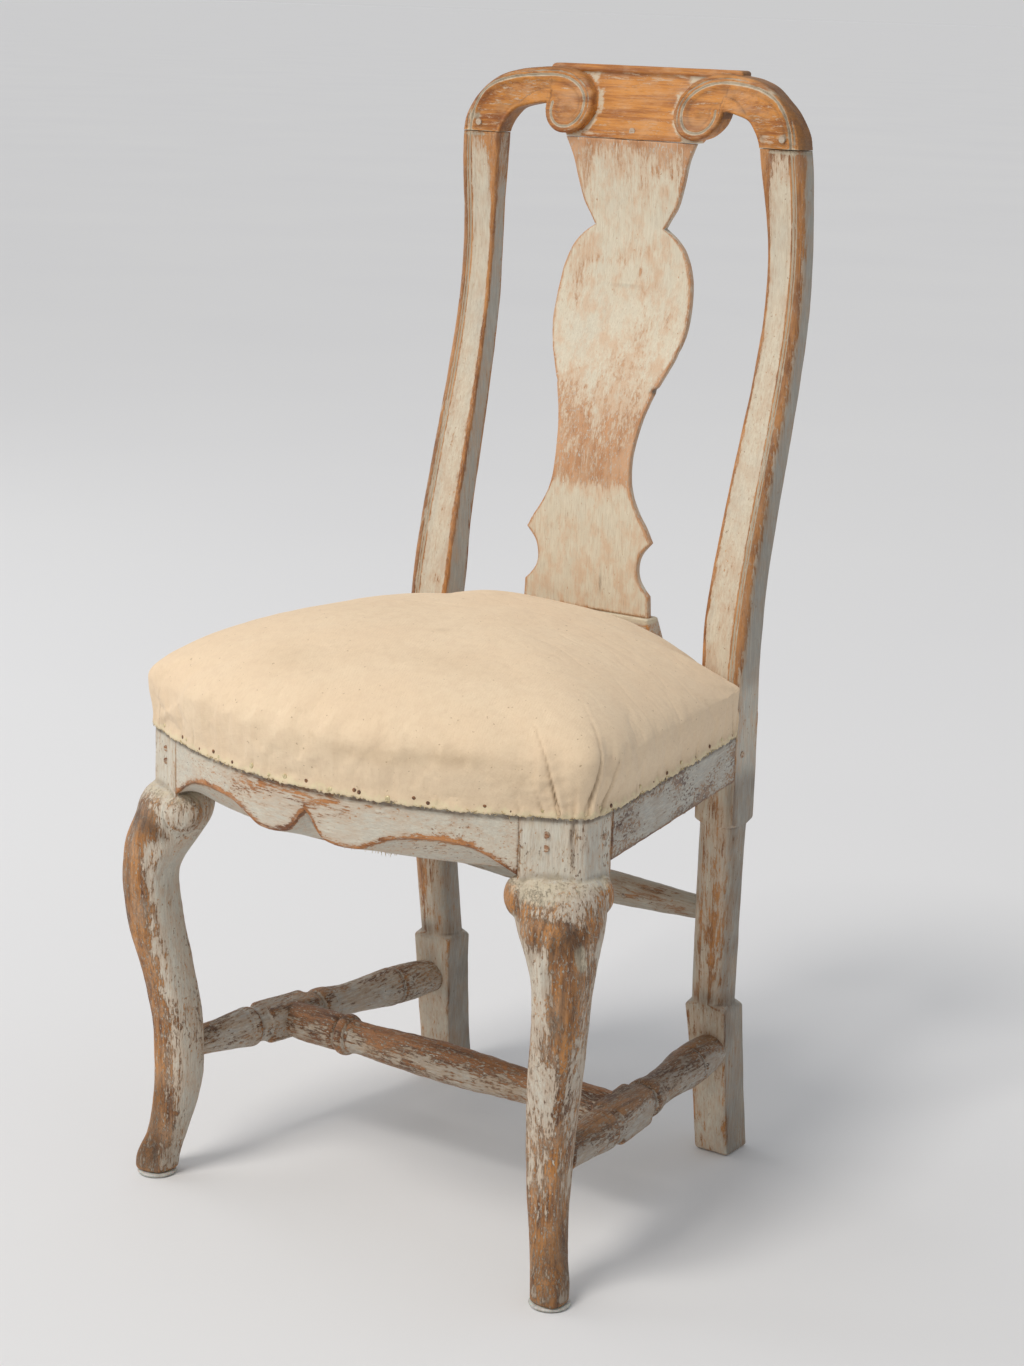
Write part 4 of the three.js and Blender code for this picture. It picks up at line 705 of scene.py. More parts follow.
muslin_cloth = muslin_material()
under_cloth = woven_material("under_cloth", (0.55, 0.47, 0.35), (0.36, 0.29, 0.2), 900.0)
jute_webbing = woven_material("jute_webbing", (0.46, 0.33, 0.17), (0.24, 0.16, 0.08), 420.0)
hessian_cloth = woven_material("hessian_cloth", (0.40, 0.29, 0.15), (0.22, 0.15, 0.08), 560.0)
fray_fibre = woven_material("fray_fibre", (0.72, 0.58, 0.31), (0.44, 0.31, 0.14), 2500.0, 400)
rusty_iron = tack_material("rusty_iron", (0.30, 0.14, 0.06), (0.09, 0.05, 0.035), 0.35)
pale_brass = tack_material("pale_brass", (0.72, 0.62, 0.38), (0.5, 0.4, 0.22), 0.5)
glide_nylon = glide_material()


# Back posts

SHAFT_TOP, SHAFT_BOTTOM = 45.0, 43.0
FOOT_TOP_WIDTH, FOOT_TOP_DEPTH, FOOT_WIDTH, FOOT_DEPTH = 46.0, 38.0, 38.0, 40.0
FOOT_INSET, FOOT_RAKE, SHIN_RAKE, BACK_RAKE = 8.0, 38.5, 16.0, 80.0
POST_ROWS = [
    [0, 0, 1, 1], [0.1, 0.04, 0.9, 1.04], [0.16, 0.085, 0.86, 1.08], [0.26, 0.22, 0.75, 1.06],
    [0.37, 0.41, 0.7, 1.03], [0.49, 0.63, 0.66, 0.985], [0.6, 0.82, 0.61, 0.93], [0.7, 0.95, 0.57, 0.9],
    [0.8, 1, 0.52, 0.91], [0.9, 0.965, 0.5, 0.985], [1, 0.92, 0.5, 1.08],
]


def up_the_back(z):
    return np.clip((z - RAIL_TOP) / (CREST_BOTTOM - RAIL_TOP), 0, 1)


def post_outer(share):
    return BACK_HALF - 3 * np.clip((share - 0.88) / 0.12, 0, 1) ** 2


def post_plan(z):
    """Inner, outer, front and back sides of the right post at a height, its corner radii, moulding and chamfer."""
    inner, back = BACK_HALF - POST_WIDTH, POST_FRONT + POST_DEPTH
    if z >= RAIL_TOP:
        share = up_the_back(z)
        front = POST_FRONT + BACK_RAKE * between(POST_ROWS, share)
        back = front + POST_DEPTH * between(POST_ROWS, share, 2)
        inner = BACK_HALF - POST_WIDTH * between(POST_ROWS, share, 3)
        meeting = ease(905, 985, z)  # the post swells a little to meet the carved arm
        start = ease(RAIL_TOP, RAIL_TOP + 12, z)
        radii = (2.6, mix(2.5, 8.2, start), 4, 3)
        return inner - 2.4 * meeting, post_outer(share), front - 2.7 * meeting, back, radii, start, 0.0
    if z >= POST_BLOCK_BOTTOM:
        return inner, BACK_HALF, POST_FRONT, back, (2.5,) * 4, 0.0, 0.0
    foot_share = min(z / FOOT_TOP, 1.0)
    width = mix(FOOT_WIDTH, FOOT_TOP_WIDTH, foot_share ** 2)
    foot_front = POST_FRONT + mix(FOOT_RAKE, SHIN_RAKE, foot_share ** 0.85)
    outer = BACK_HALF - FOOT_INSET
    foot = (outer - width, outer, foot_front, foot_front + mix(FOOT_DEPTH, FOOT_TOP_DEPTH, foot_share ** 0.5), 3.0)
    share = np.clip((POST_BLOCK_BOTTOM - z) / (POST_BLOCK_BOTTOM - FOOT_TOP), 0, 1)
    size = mix(SHAFT_TOP, SHAFT_BOTTOM, share) - 3.0
    x = mix((inner + BACK_HALF) / 2, outer - FOOT_TOP_WIDTH / 2, share)
    y = mix((POST_FRONT + back) / 2, POST_FRONT + SHIN_RAKE + FOOT_TOP_DEPTH / 2, share ** 1.3)
    shaft = (x - size / 2, x + size / 2, y - size / 2, y + size / 2, size * 0.37)
    low = ease(FOOT_TOP - 8, FOOT_TOP - 0.5, z)
    high = ease(POST_BLOCK_BOTTOM - 7, POST_BLOCK_BOTTOM - 0.5, z)
    plan = [mix(a, b, low) for a, b in zip(foot, shaft)]
    plan = [mix(a, b, high) for a, b in zip(plan, (inner, BACK_HALF, POST_FRONT, back, 2.5))]
    draw = 4 - math.sqrt(16 - max(4 - z, 0) ** 2)  # the foot's lower edge is rounded off
    plan = [side + draw * way for side, way in zip(plan, (1, -1, 1, -1, 0))]
    return *plan[:4], (plan[4],) * 4, 0.0, 0.22 * low * (1 - high)


def corner(x, y, radius, turn, flatness):
    """Points round a corner whose rounding is centred on x, y; flatness 1 makes it a chamfer."""
    steps = np.linspace(0, 1, 8)[:, None]
    angles = np.radians(turn) + steps * math.pi / 2
    arc = np.hstack([np.cos(angles), np.sin(angles)]) * radius
    return mix(arc, arc[0] + steps * (arc[-1] - arc[0]), flatness) + (x, y)


def post_ring(z):
    inner, outer, front, back, (r_in, r_out, r_back_out, r_back_in), moulded, flatness = post_plan(z)
    r_out = min(r_out, (back - front) * 0.42)
    corners = [
        corner(inner + r_in, front + r_in, r_in, 180, flatness),
        corner(outer - r_out, front + r_out, r_out, 270, flatness),
        corner(outer - r_back_out, back - r_back_out, r_back_out, 0, flatness),
        corner(inner + r_back_in, back - r_back_in, r_back_in, 90, flatness),
    ]
    # Points crowd along both sides of the face, where the rubbed arris and the moulding are.
    shares = np.concatenate([np.linspace(0.02, 0.17, 10), np.linspace(0.2, 0.55, 9), np.linspace(0.57, 0.98, 25)])
    x = mix(corners[0][-1][0], corners[1][0][0], shares)
    line = outer - r_out
    relief = 1.05 * hump(x - line + 3.6, 0.95) + 0.85 * hump(x - line + 0.7, 0.8) - 0.3 * hump(x - line + 2.1, 0.8)
    relief += 0.5 * ease(0, 1, (x - inner - r_in) / 6) * ease(0, 1, (line - 5 - x) / 6)
    face = np.column_stack([x, np.full(len(x), front) + moulded * relief])

    def side(a, b, steps):
        return a[-1] + np.linspace(0, 1, steps + 2)[1:-1, None] * (b[0] - a[-1])

    first, second, third, fourth = corners
    flat = np.vstack([
        first, face, second, side(second, third, 8), third, side(third, fourth, 10), fourth, side(fourth, first, 8),
    ])
    return np.column_stack([flat, np.full(len(flat), z)])


def post_wear(s):
    right = s > 0
    rubbed = [
        (168, 385, 300, 8, 30, 60, 0.45), (178, 375, 250, 10, 30, 50, 0.4), (184, 385, 330, 6, 30, 20, 0.5),
        (176, 370, 372, 10, 30, 16, 0.45), (164, 430, 990, 30, 40, 26, 0.75), (174, 385, 220, 6, 30, 40, 0.3),
        (186, 372, 30, 8, 30, 20, 0.3), (156, 430, 950, 6, 30, 50, 0.75), (152, 420, 700, 6, 60, 200, 0.35),
        (185, 440, 860, 8, 40, 130, 0.2), (170, 400, 130, 10, 30, 40, 0.3), (160, 362, 500, 12, 20, 40, 0.35),
        (175, 362, 560, 30, 20, 30, 0.2),
    ]
    dirt = [
        (193, 357, 380, 4, 8, 24, 0.9), (172, 380, 168, 24, 24, 9, 0.6), (170, 372, 172, 10, 20, 10, 0.4),
        (178, 385, 140, 12, 20, 26, 0.35), (192, 390, 620, 8, 30, 90, 0.3),
    ]

    def extra(w):
        upper, low = ease(480, 500, w.z), 1 - ease(390, 420, w.z)
        share = up_the_back(w.z)
        off = post_outer(share) - s * w.x
        inner = BACK_HALF - POST_WIDTH * between(POST_ROWS, share, 3)
        face = upper * w.front
        w.bare += 0.72 * face * hump(s * w.x - inner - 1.0, 3.4)
        # The rounded outer arris is rubbed, and pale paint stays in the two fine lines beside it.
        quarter = upper * np.abs(w.normal[:, 1]) * (off < 8.6) * (w.y < POST_FRONT + 100)
        w.bare += 0.8 * quarter * (w.normal[:, 1] < -0.12) + 0.35 * face * hump(off - 10.3, 1.0)
        w.filler += 0.8 * face * (hump(off - 11.8, 1.2) + 0.6 * hump(off - 8.9, 0.9)) + 0.5 * hump(w.z - 984.5, 1.3)
        w.grime_and_shade += (0.42 if right else 0.25) * quarter
        panel = face * (off > 14)
        w.bare += (-0.08 if right else 0.05) * panel
        w.grime_and_shade += (0.0 if right else 0.1) * panel
        w.arris = np.where(off < 13, w.arris * 0.5, w.arris)
        # Low down the arrises are knocked off in places and dirty, and faces turned to the right get painted shade.
        broken = rippled(w.x / 20, w.y / 20, w.z / 26)
        w.grime_and_shade += 0.3 * w.arris * low * np.clip(0.4 + 1.6 * broken, 0, 1)
        w.arris *= 1 - low * (0.75 - 0.9 * np.clip(broken, 0, 1))
        shaded = upper * ease(0.55, 0.9, w.normal[:, 0])
        w.grime_and_shade += (0.5 if right else 0.22) * shaded
        # Lower down, faces turned to the right get painted shade as well; the rest is dirt.
        w.grime_and_shade += low * (0.75 * ease(0.5, 0.9, w.normal[:, 0]) + 0.25 * np.clip(broken + 0.2, 0, 1))
        w.bare += 0.3 * low * np.clip(0.1 - broken, 0, 1) - 0.1 * shaded
        w.bare += 0.24 * (1 - upper) * np.clip(-w.normal[:, 1] + 0.2, 0, 1)
        w.grime_and_shade *= 0.8
        w.warm = w.warm - 0.25 * (1 - upper)
    return worn(rubbed=on_side(s, rubbed), dirt=on_side(s, dirt), spread=4, extra=extra)


post_heights = spans(
    0, 0.5, 1.3, 2.5, 4, (8, 154, 4.0), (156, 167, 1.0), (170, 348, 4.0), (349, 359, 1.0), (362, 462, 4.0),
    (462, 988, 2.4), CREST_BOTTOM - GAP,
)
post_rings = np.array([post_ring(z) for z in post_heights])
for name, side in SIDES:
    bm = hand_made(skin(post_rings * (side, 1, 1)), 34, 0.35, 2.0 + side)
    piece(bm, f"{name}_back_upright", post_paint, [f"{name}_back_post"], post_wear(side))


# Front legs

LEG_ROWS = [
    [0, 0.8, 0.74, 0.37], [0.05, 0.71, 0.78, 0.37], [0.11, 0.35, 0.73, 0.36], [0.19, 0.05, 0.81, 0.38],
    [0.27, -0.1, 0.88, 0.42], [0.4, -0.03, 0.9, 0.47], [0.52, 0.31, 0.93, 0.515], [0.65, 0.8, 1, 0.53],
    [0.745, 1, 0.99, 0.56], [0.8, 0.98, 1.02, 0.62], [0.87, 0.56, 1.26, 0.77], [0.93, 0.1, 1.33, 0.85],
    [1, -0.1, 1.3, 0.85],
]
LEG_MIDDLE = (216.6, 30.0)
LEG_SWEEP, LEG_THICKNESS, KNEE_WIDTH, LEG_POWER = 24.0, 54.0, 96.0, 2 / 1.5
GLIDE_HEIGHT = 4.0


def on_diagonal(along, across, z):
    return np.stack([
        LEG_MIDDLE[0] + DIAGONAL * (along + across), LEG_MIDDLE[1] - DIAGONAL * (along - across),
        np.full(np.shape(along), z),
    ], axis=-1)


def sweep_at(z):
    return LEG_SWEEP * between(LEG_ROWS, z / BLOCK_BOTTOM)


def leg_ring(z, shrink=0.0):
    depth = LEG_THICKNESS * between(LEG_ROWS, z / BLOCK_BOTTOM, 2) / 2 - shrink
    width = KNEE_WIDTH * between(LEG_ROWS, z / BLOCK_BOTTOM, 3) / 2 - shrink
    angle = np.linspace(0, TURN, 72, endpoint=False)
    power = mix(LEG_POWER, 1.0, ease(325, 358, z))
    along, across = (np.sign(v) * np.abs(v) ** power for v in (np.cos(angle), np.sin(angle)))
    return on_diagonal(sweep_at(z) + depth * along, width * across, z)


def block_plan():
    """The square block over the leg, with its outer corner rounded."""
    joint, bend, back = Vector((JOINT_HALF, 0)), Vector((FRONT_HALF, BLOCK_CORNER_Y)), Vector((FRONT_HALF, BLOCK_BACK))
    to_joint, to_back = (joint - bend).normalized(), (back - bend).normalized()
    reach = 15 / math.tan(math.acos(to_joint.dot(to_back)) / 2)
    start, end = bend + to_joint * reach, bend + to_back * reach
    arc = [start.lerp(bend, t).lerp(bend.lerp(end, t), t) for t in np.linspace(0, 1, 9)]
    return [joint, *arc, back, Vector((JOINT_HALF, BLOCK_BACK))]


def leg_body():
    heights = spans(GLIDE_HEIGHT + GAP, 5.2, 7, (9, 370, 3.0), (372, 385, 3.0), 386.5, 388.5, 390, 391.5)
    shrink = {
        heights[0]: 1.4, heights[1]: 0.5, 375: 0.3, 378: 0.9, 381: 1.9, 384: 3.4, 386.5: 5.2, 388.5: 7.4, 390: 9.6,
        391.5: 13,
    }
    bm = skin([leg_ring(z, shrink.get(z, 0.0)) for z in heights])
    add_in(bm, prism(block_plan(), BLOCK_BOTTOM - 14, RAIL_TOP))
    # The knee rolls out sideways into a round ear at each end.
    for across in (-35.5, 35.5):
        ear = bmesh.new()
        bmesh.ops.create_uvsphere(ear, u_segments=48, v_segments=24, radius=18.5)
        bmesh.ops.scale(ear, vec=(1, 1, 0.67), verts=ear.verts)
        turn = Quaternion((1, -1, 0), math.radians(-90)).to_matrix()
        add_in(bm, set_at(ear, Vector(on_diagonal(-3.0, across, 371.5).tolist()), turn))
    return bm


def edge_shadow(co):
    """Painted shadow in the gap under the raw edge of the muslin, with the dirt settled there."""
    uneven = rippled(co[:, 0] / 7, co[:, 1] / 7, 6.0)
    return np.clip(1.2 + 1.6 * uneven, 0, 2) * hump(co[:, 2] - 443.1 - 1.2 * uneven, 2.0)


LEG_MARKS = {
    1: {
        "dirt": [
            (248, -2, 346, 9, 9, 13, 0.95), (241, -4, 334, 6, 6, 10, 0.6), (240, 0, 296, 9, 9, 34, 0.45),
            (236, 5, 262, 9, 9, 30, 0.35), (232, 22, 40, 20, 20, 34, 0.35),
            (233.5, 20, 444, 1.3, 5, 9, 1.2), (232.4, 19.5, 428, 1.3, 5, 9, 1.2), (234, 20.5, 411, 1.3, 5, 9, 1.0),
        ],
        "pale": [
            (254, 5, 333, 5, 6, 9, 1.1), (256, 8, 322, 4, 6, 6, 0.9), (246, 2, 318, 3, 4, 3, 0.6),
            (215, 2, 376, 22, 20, 9, 0.6), (236, 6, 60, 7, 8, 14, 0.6),
        ],
        "rubbed": [
            (200, 4, 350, 8, 10, 22, 0.5), (222, 0, 336, 20, 14, 10, 0.4), (246, 30, 355, 8, 22, 16, 0.5),
            (244, -4, 322, 10, 10, 26, 0.6), (222, 6, 200, 8, 10, 30, -0.3), (214, 4, 250, 8, 10, 40, -0.25),
            (233.5, 20, 428, 2.3, 6, 24, 1.3), (232, 8, 64, 6, 8, 18, -0.35),
            (229, -13, 318, 9, 9, 24, -0.6), (225, -9, 284, 8, 8, 26, -0.45),
        ],
    },
    -1: {
        "dirt": [
            (216, -6, 356, 13, 12, 12, 0.7), (236, 0, 362, 16, 14, 14, 0.5), (205, -2, 350, 6, 8, 6, 0.7),
            (226, 8, 60, 8, 10, 34, 0.5), (232, 4, 24, 20, 20, 14, 0.45), (224, 14, 88, 8, 8, 18, 0.4),
        ],
        "pale": [(236, 0, 110, 8, 10, 24, 0.5)],
        "rubbed": [
            (236, -2, 320, 16, 16, 40, 0.4), (228, 4, 190, 12, 14, 60, 0.4), (225, -4, 364, 24, 18, 20, 0.85),
            (236, -6, 290, 14, 14, 34, 0.55), (222, 6, 130, 14, 18, 50, 0.5), (232, 0, 230, 12, 16, 30, 0.35),
        ],
    },
}


def leg_wear(s):
    def extra(w):
        nx, ny, nz = w.normal.T
        # Most rubbed along the outward diagonal, down the front of the knee, the shin and the foot
        out = np.clip((s * nx - ny) * DIAGONAL, 0, 1)
        wide = np.clip(out + 0.5, 0, 1)
        shin = ease(14, 60, w.z) * (1 - ease(352, 372, w.z))
        high = ease(190, 290, w.z)
        sway = 0.25 * rippled(3.0, 1.0, w.z / 34)
        if s > 0:
            middle = np.clip(1.25 * out - 0.25 + sway, 0, 1)
            w.bare += shin * (mix(0.3, 0.74, high) * middle + 0.22 * (1 - high) * wide)
        else:
            left_half = np.clip(-nx * 0.75 - ny * 0.6, 0, 1)
            w.bare += shin * mix(0.62, 0.74, high) * np.clip(left_half + sway, 0, 1)
        w.bare += 0.5 * (1 - ease(30, 150, w.z)) * wide
        seam = np.clip(rippled(w.x / 7, w.y / 7, w.z / 60) * 2.2 - 0.1, 0, 1)
        w.grime_and_shade += 0.75 * shin * high * out * seam + 0.55 * (1 - ease(20, 110, w.z)) * wide
        ears = hump(w.z - 371, 16) * np.abs(s * nx + ny) * DIAGONAL
        w.bare += (0.7 if s > 0 else -0.25) * ears * (w.z < 384)
        w.grime_and_shade += 0.5 * hump(w.z - 362, 22) * np.clip(w.grime_and_shade, 0, 1)
        # The inner faces stay painted and grey.
        w.bare -= 0.3 * np.clip((ny - s * nx) * DIAGONAL, 0, 1)
        block = ease(388, 396, w.z)
        w.bare = np.clip(w.bare * (1 - 0.6 * block) - 0.08 * block, 0, 1)
        # Creamier to the front: partly the paint, partly painted shade on the sides
        w.warm = 0.35 + 0.5 * w.front
        # Painted shadow under the muslin's raw edge
        w.grime_and_shade += edge_shadow(w.co)
        ledge = ease(368, 382, w.z) * (1 - ease(389, 394, w.z))
        w.filler += 0.55 * ledge * np.clip(nz, 0, 1) ** 0.7 + 0.36 * block * w.front
        w.arris *= 1 - 0.35 * block
    spots = {kind: on_side(s, rows) for kind, rows in LEG_MARKS[s].items()}
    return worn(edge=0.9, spread=3, extra=extra, **spots)


for name, side in SIDES:
    bm = hand_made(to_side(grown_together(leg_body(), 1.5, 3), side), 26, 0.5, 5.0 + side)
    piece(bm, f"{name}_cabriole_leg", leg_paint, [f"{name}_front_leg"], leg_wear(side))


# Seat rails

NOTCH_ROWS = [[0, 1], [0.03, 0.84], [0.06, 0.58], [0.1, 0.34], [0.16, 0.23], [0.22, 0.2]]
ARCH_ROWS = [
    [0.22, 0.2], [0.3, 0.25], [0.38, 0.47], [0.48, 0.68], [0.6, 0.76], [0.72, 0.76], [0.82, 0.64],
    [0.9, 0.4], [0.96, 0.17], [1, 0.02],
]
APRON_REACH, FRONT_RAIL_THICKNESS = 33.0, 30.0


def rail_face(x):
    return -FRONT_BOW * (1 - (x / JOINT_HALF) ** 2)


def apron_edge(x):
    share = np.abs(x) / JOINT_HALF
    rise = np.where(share < ARCH_ROWS[0][0], between(NOTCH_ROWS, share), between(ARCH_ROWS, share))
    return BLOCK_BOTTOM + APRON_REACH * rise


def apron_ring(x):
    front, low = rail_face(x), apron_edge(x)
    back = front + FRONT_RAIL_THICKNESS
    face = [(front, z) for z in np.linspace(RAIL_TOP, low + 1.6, 26)]
    arris = [(front + 1.6 * (1 - math.cos(t)), low + 1.6 * (1 - math.sin(t))) for t in np.linspace(0.2, 1.4, 5)]
    bevel = [(mix(front + 1.8, back - 3, t), mix(low, BLOCK_BOTTOM, t ** 0.92)) for t in np.linspace(0.03, 1, 16)]
    rear = [(back - 0.6, BLOCK_BOTTOM + 0.6), (back, BLOCK_BOTTOM + 3)]
    rear += [(back, z) for z in np.linspace(BLOCK_BOTTOM + 8, RAIL_TOP - 2, 10)]
    top = [(y, RAIL_TOP) for y in np.linspace(back - 0.5, front + 1, 8)]
    return [(x, y, z) for y, z in face + arris + bevel + rear + top]


def apron_extra(w):
    face = rail_face(w.x)
    near = hump(w.z - apron_edge(w.x), 4.6) * hump(w.y - face, 3.5)
    w.arris = np.clip(w.arris * 0.4 + 1.2 * near, 0, 1)
    under = np.clip(-w.normal[:, 2], 0, 1)
    w.bare -= 0.3 * under * (w.y > face + 4)
    # Faces turned down take the cool grey: partly the paint, partly painted shade under the rail
    w.warm = 0.75 - 0.6 * under
    # Painted shadow under the muslin's raw edge, on the front faces
    w.grime_and_shade += edge_shadow(w.co) * (w.normal[:, 1] < -0.3)


def side_rail_extra(w):
    # Painted shadow under the muslin's raw edge
    w.grime_and_shade += edge_shadow(w.co)


apron_x = spans(
    -JOINT_HALF + GAP, (-190, -20, 2.0), (-20, 20.1, 1.0), (22, 191, 2.0), JOINT_HALF - GAP,
)
piece(
    hand_made(skin([apron_ring(x) for x in apron_x]), 40, 0.4, 9.0),
    "carved_front_rail", apron_paint, ["front_seat_rail"],
    worn(
        rubbed=[
            (-45, -46, 440, 46, 20, 12, 0.62), (20, -50, 436, 40, 20, 16, 0.55), (-80, -42, 428, 30, 20, 10, 0.4),
            (80, -40, 440, 40, 20, 10, 0.28), (150, -18, 430, 20, 20, 12, 0.2), (-10, -50, 412, 26, 20, 12, 0.45),
        ],
        dirt=[(175, -8, 396, 18, 14, 5, 0.3)], spread=2, extra=apron_extra,
    ),
)


def plank(corners, cuts):
    """A rail over four plan corners with rounded arrises, cut fine enough for its wear."""
    bm = prism(corners, RAIL_BOTTOM, RAIL_TOP)
    for axis, count in enumerate(cuts):
        low, high = (pick(v.co[axis] for v in bm.verts) for pick in (min, max))
        way = np.eye(3)[axis]
        for k in range(1, count):
            at = way * mix(low, high, k / count)
            bmesh.ops.bisect_plane(bm, geom=bm.verts[:] + bm.edges[:] + bm.faces[:], plane_co=at, plane_no=way)
    sharp = [e for e in bm.edges if e.is_manifold and e.calc_face_angle() > 0.6]
    bmesh.ops.bevel(
        bm, geom=sharp, offset=1.6, offset_type="OFFSET", segments=3, profile=0.5, affect="EDGES", material=-1,
    )
    return bm


def side_line(y):
    return mix(FRONT_HALF, BACK_HALF, (y - BLOCK_BACK) / (POST_FRONT - BLOCK_BACK))


y0, y1 = BLOCK_BACK + GAP, POST_FRONT - GAP
plan = [(side_line(y0) - 26, y0), (side_line(y0), y0), (side_line(y1), y1), (side_line(y1) - 26, y1)]
for name, side in SIDES:
    piece(
        hand_made(to_side(plank(plan, (8, 96, 22)), side), 30, 0.5, 12.0 + side),
        f"{name}_side_rail", rail_paint, [f"{name}_seat_rail"],
        worn(
            edge=0.8, tone=0.3, spread=2, extra=side_rail_extra,
            rubbed=on_side(side, [
                (236, 100, 425, 20, 30, 26, 0.3), (225, 170, 430, 20, 40, 20, 0.22), (205, 320, 432, 20, 20, 20, 0.25),
            ]),
            dirt=on_side(side, [(238, 100, 430, 20, 24, 16, 0.25), (215, 230, 402, 20, 90, 5, 0.3)]),
        ),
    )

half = BACK_HALF - POST_WIDTH - GAP
plan = [(-half, REAR_RAIL_FACE), (half, REAR_RAIL_FACE), (half, 397), (-half, 397)]
piece(
    hand_made(plank(plan, (80, 8, 18)), 36, 0.4, 15.0),
    "rear_rail", rear_rail_paint, ["rear_seat_rail"], worn(edge=0.8, tone=0.35, spread=2),
)


# Crest rail

CREST_HALF, CREST_RISE = 194.0, 69.0
ARM_FRONT, ARM_DEPTH = 427.5, 24.0
VOLUTE, VOLUTE_RADIUS = (73.5, 1018.5), 27.3
TABLET_LIP = 1050.8
ARM_TOP_ROWS = [
    [1, 0], [0.988, 0.18], [0.957, 0.36], [0.902, 0.56], [0.8, 0.785], [0.69, 0.89], [0.583, 0.93],
    [0.49, 0.945], [0.4, 0.915], [0.31, 0.8], [0.255, 0.62],
]
UNDERSIDE_ROWS = [[0.535, 0.445], [0.593, 0.415], [0.675, 0.35], [0.722, 0.22], [0.75, 0.09], [0.761, 0]]
# The fine line starts on the post's moulding, follows the top and winds once round the volute.
ARM_LINE = curve_through([
    (182.3, 986), (181.4, 996), (179.0, 1007), (174.3, 1018), (167, 1028), (157, 1035.5), (143, 1041), (128, 1043.8),
    (112, 1045.2), (95, 1045.6), (80, 1043), (67, 1036.5), (58.5, 1027.5), (56, 1017), (58.5, 1007),
    (65.5, 999.6), (74.5, 997.4), (83.5, 999.5), (90, 1005.5), (92.8, 1013), (92.6, 1019.5),
])
ARM_RIM = curve_through([
    (185.2, 986), (184.8, 998), (181.9, 1011), (176.5, 1022.5), (168, 1032.2), (156.5, 1040), (142, 1045.3),
    (126, 1048), (110, 1049.4), (94, 1049.6), (78, 1047), (64, 1040), (54.5, 1030), (51.2, 1018), (53.6, 1005.5),
    (61.5, 996.5), (73, 993.2),
])


def arm_lean(x, z):
    return 0.37 * np.clip((168 - np.abs(x)) / 68, 0, 1) * (z - CREST_BOTTOM)


def in_crest(rows):
    return [(x * CREST_HALF, CREST_BOTTOM + GAP + z * CREST_RISE) for x, z in rows]


scroll = np.linspace(math.pi * 1.02, TURN, 60)
arm_scroll = np.column_stack([np.cos(scroll), np.sin(scroll)]) * VOLUTE_RADIUS + VOLUTE
ARM_OVER = np.vstack([curve_through(in_crest(ARM_TOP_ROWS)), arm_scroll])
ARM_UNDER = curve_through(in_crest(UNDERSIDE_ROWS))
ARM_OUTLINE = spaced(np.vstack([ARM_OVER, ARM_UNDER]), 0.8)


def arm_mesh():
    """One scrolled arm: a fine grid cut to the outline, with its rim drawn onto it."""
    step = 0.9
    low, high = ARM_OUTLINE.min(0) - step, ARM_OUTLINE.max(0) + step
    nx, nz = (int(v) for v in np.ceil((high - low) / step))
    bm = bmesh.new()
    bmesh.ops.create_grid(bm, x_segments=nx, y_segments=nz, size=0.5)
    for v in bm.verts:
        v.co = (low[0] + (v.co.x + 0.5) * nx * step, 0, low[1] + (v.co.y + 0.5) * nz * step)
    middles = np.array([f.calc_center_median()[:] for f in bm.faces])[:, [0, 2]]
    kept = inside(ARM_OUTLINE, middles)
    bmesh.ops.delete(bm, geom=[f for f, k in zip(list(bm.faces), kept) if not k], context="FACES")
    bmesh.ops.delete(bm, geom=[v for v in bm.verts if not v.link_faces], context="VERTS")
    a, b = ARM_OUTLINE, np.roll(ARM_OUTLINE, -1, axis=0)
    for v in bm.verts:
        if v.is_boundary:
            p = np.array((v.co.x, v.co.z))
            t = np.clip(((p - a) * (b - a)).sum(1) / ((b - a) ** 2).sum(1), 0, 1)
            near = a + t[:, None] * (b - a)
            v.co.x, v.co.z = near[np.argmin(((near - p) ** 2).sum(1))]
    inner = [v for v in bm.verts if not v.is_boundary]
    for _ in range(2):
        bmesh.ops.smooth_vert(bm, verts=inner, factor=0.5, use_axis_x=True, use_axis_y=False, use_axis_z=True)
    return bm


def arm_relief(points, back=False):
    """Depth below the arm's face at places of its outline."""
    top, under = distance_to(ARM_OVER, points), distance_to(ARM_UNDER, points)

    def rounding(distance, r):
        gone = np.clip(1 - distance / r, 0, 1)
        return r * (1 - np.sqrt(1 - gone ** 2 * 0.995))

    if back:
        return rounding(np.minimum(top, under), 4.0)
    line, rim = distance_to(ARM_LINE, points), distance_to(ARM_RIM, points)
    depth = rounding(top, 3.2 + 5.2 * ease(110, 175, points[:, 0])) + rounding(under, 2.2)
    depth += 1.5 * hump(line, 1.15) + 0.6 * hump(rim, 0.8)
    # Inside the line the field is hollowed, and the eye of the volute swells again.
    eye = np.hypot(points[:, 0] - VOLUTE[0] - 1, points[:, 1] - VOLUTE[1] + 1)
    hollow = ease(1.5, 7, line) * ease(0, 6, under) * (top > line)
    return depth + 1.3 * hollow - 1.7 * (1 - ease(0, 13, eye))


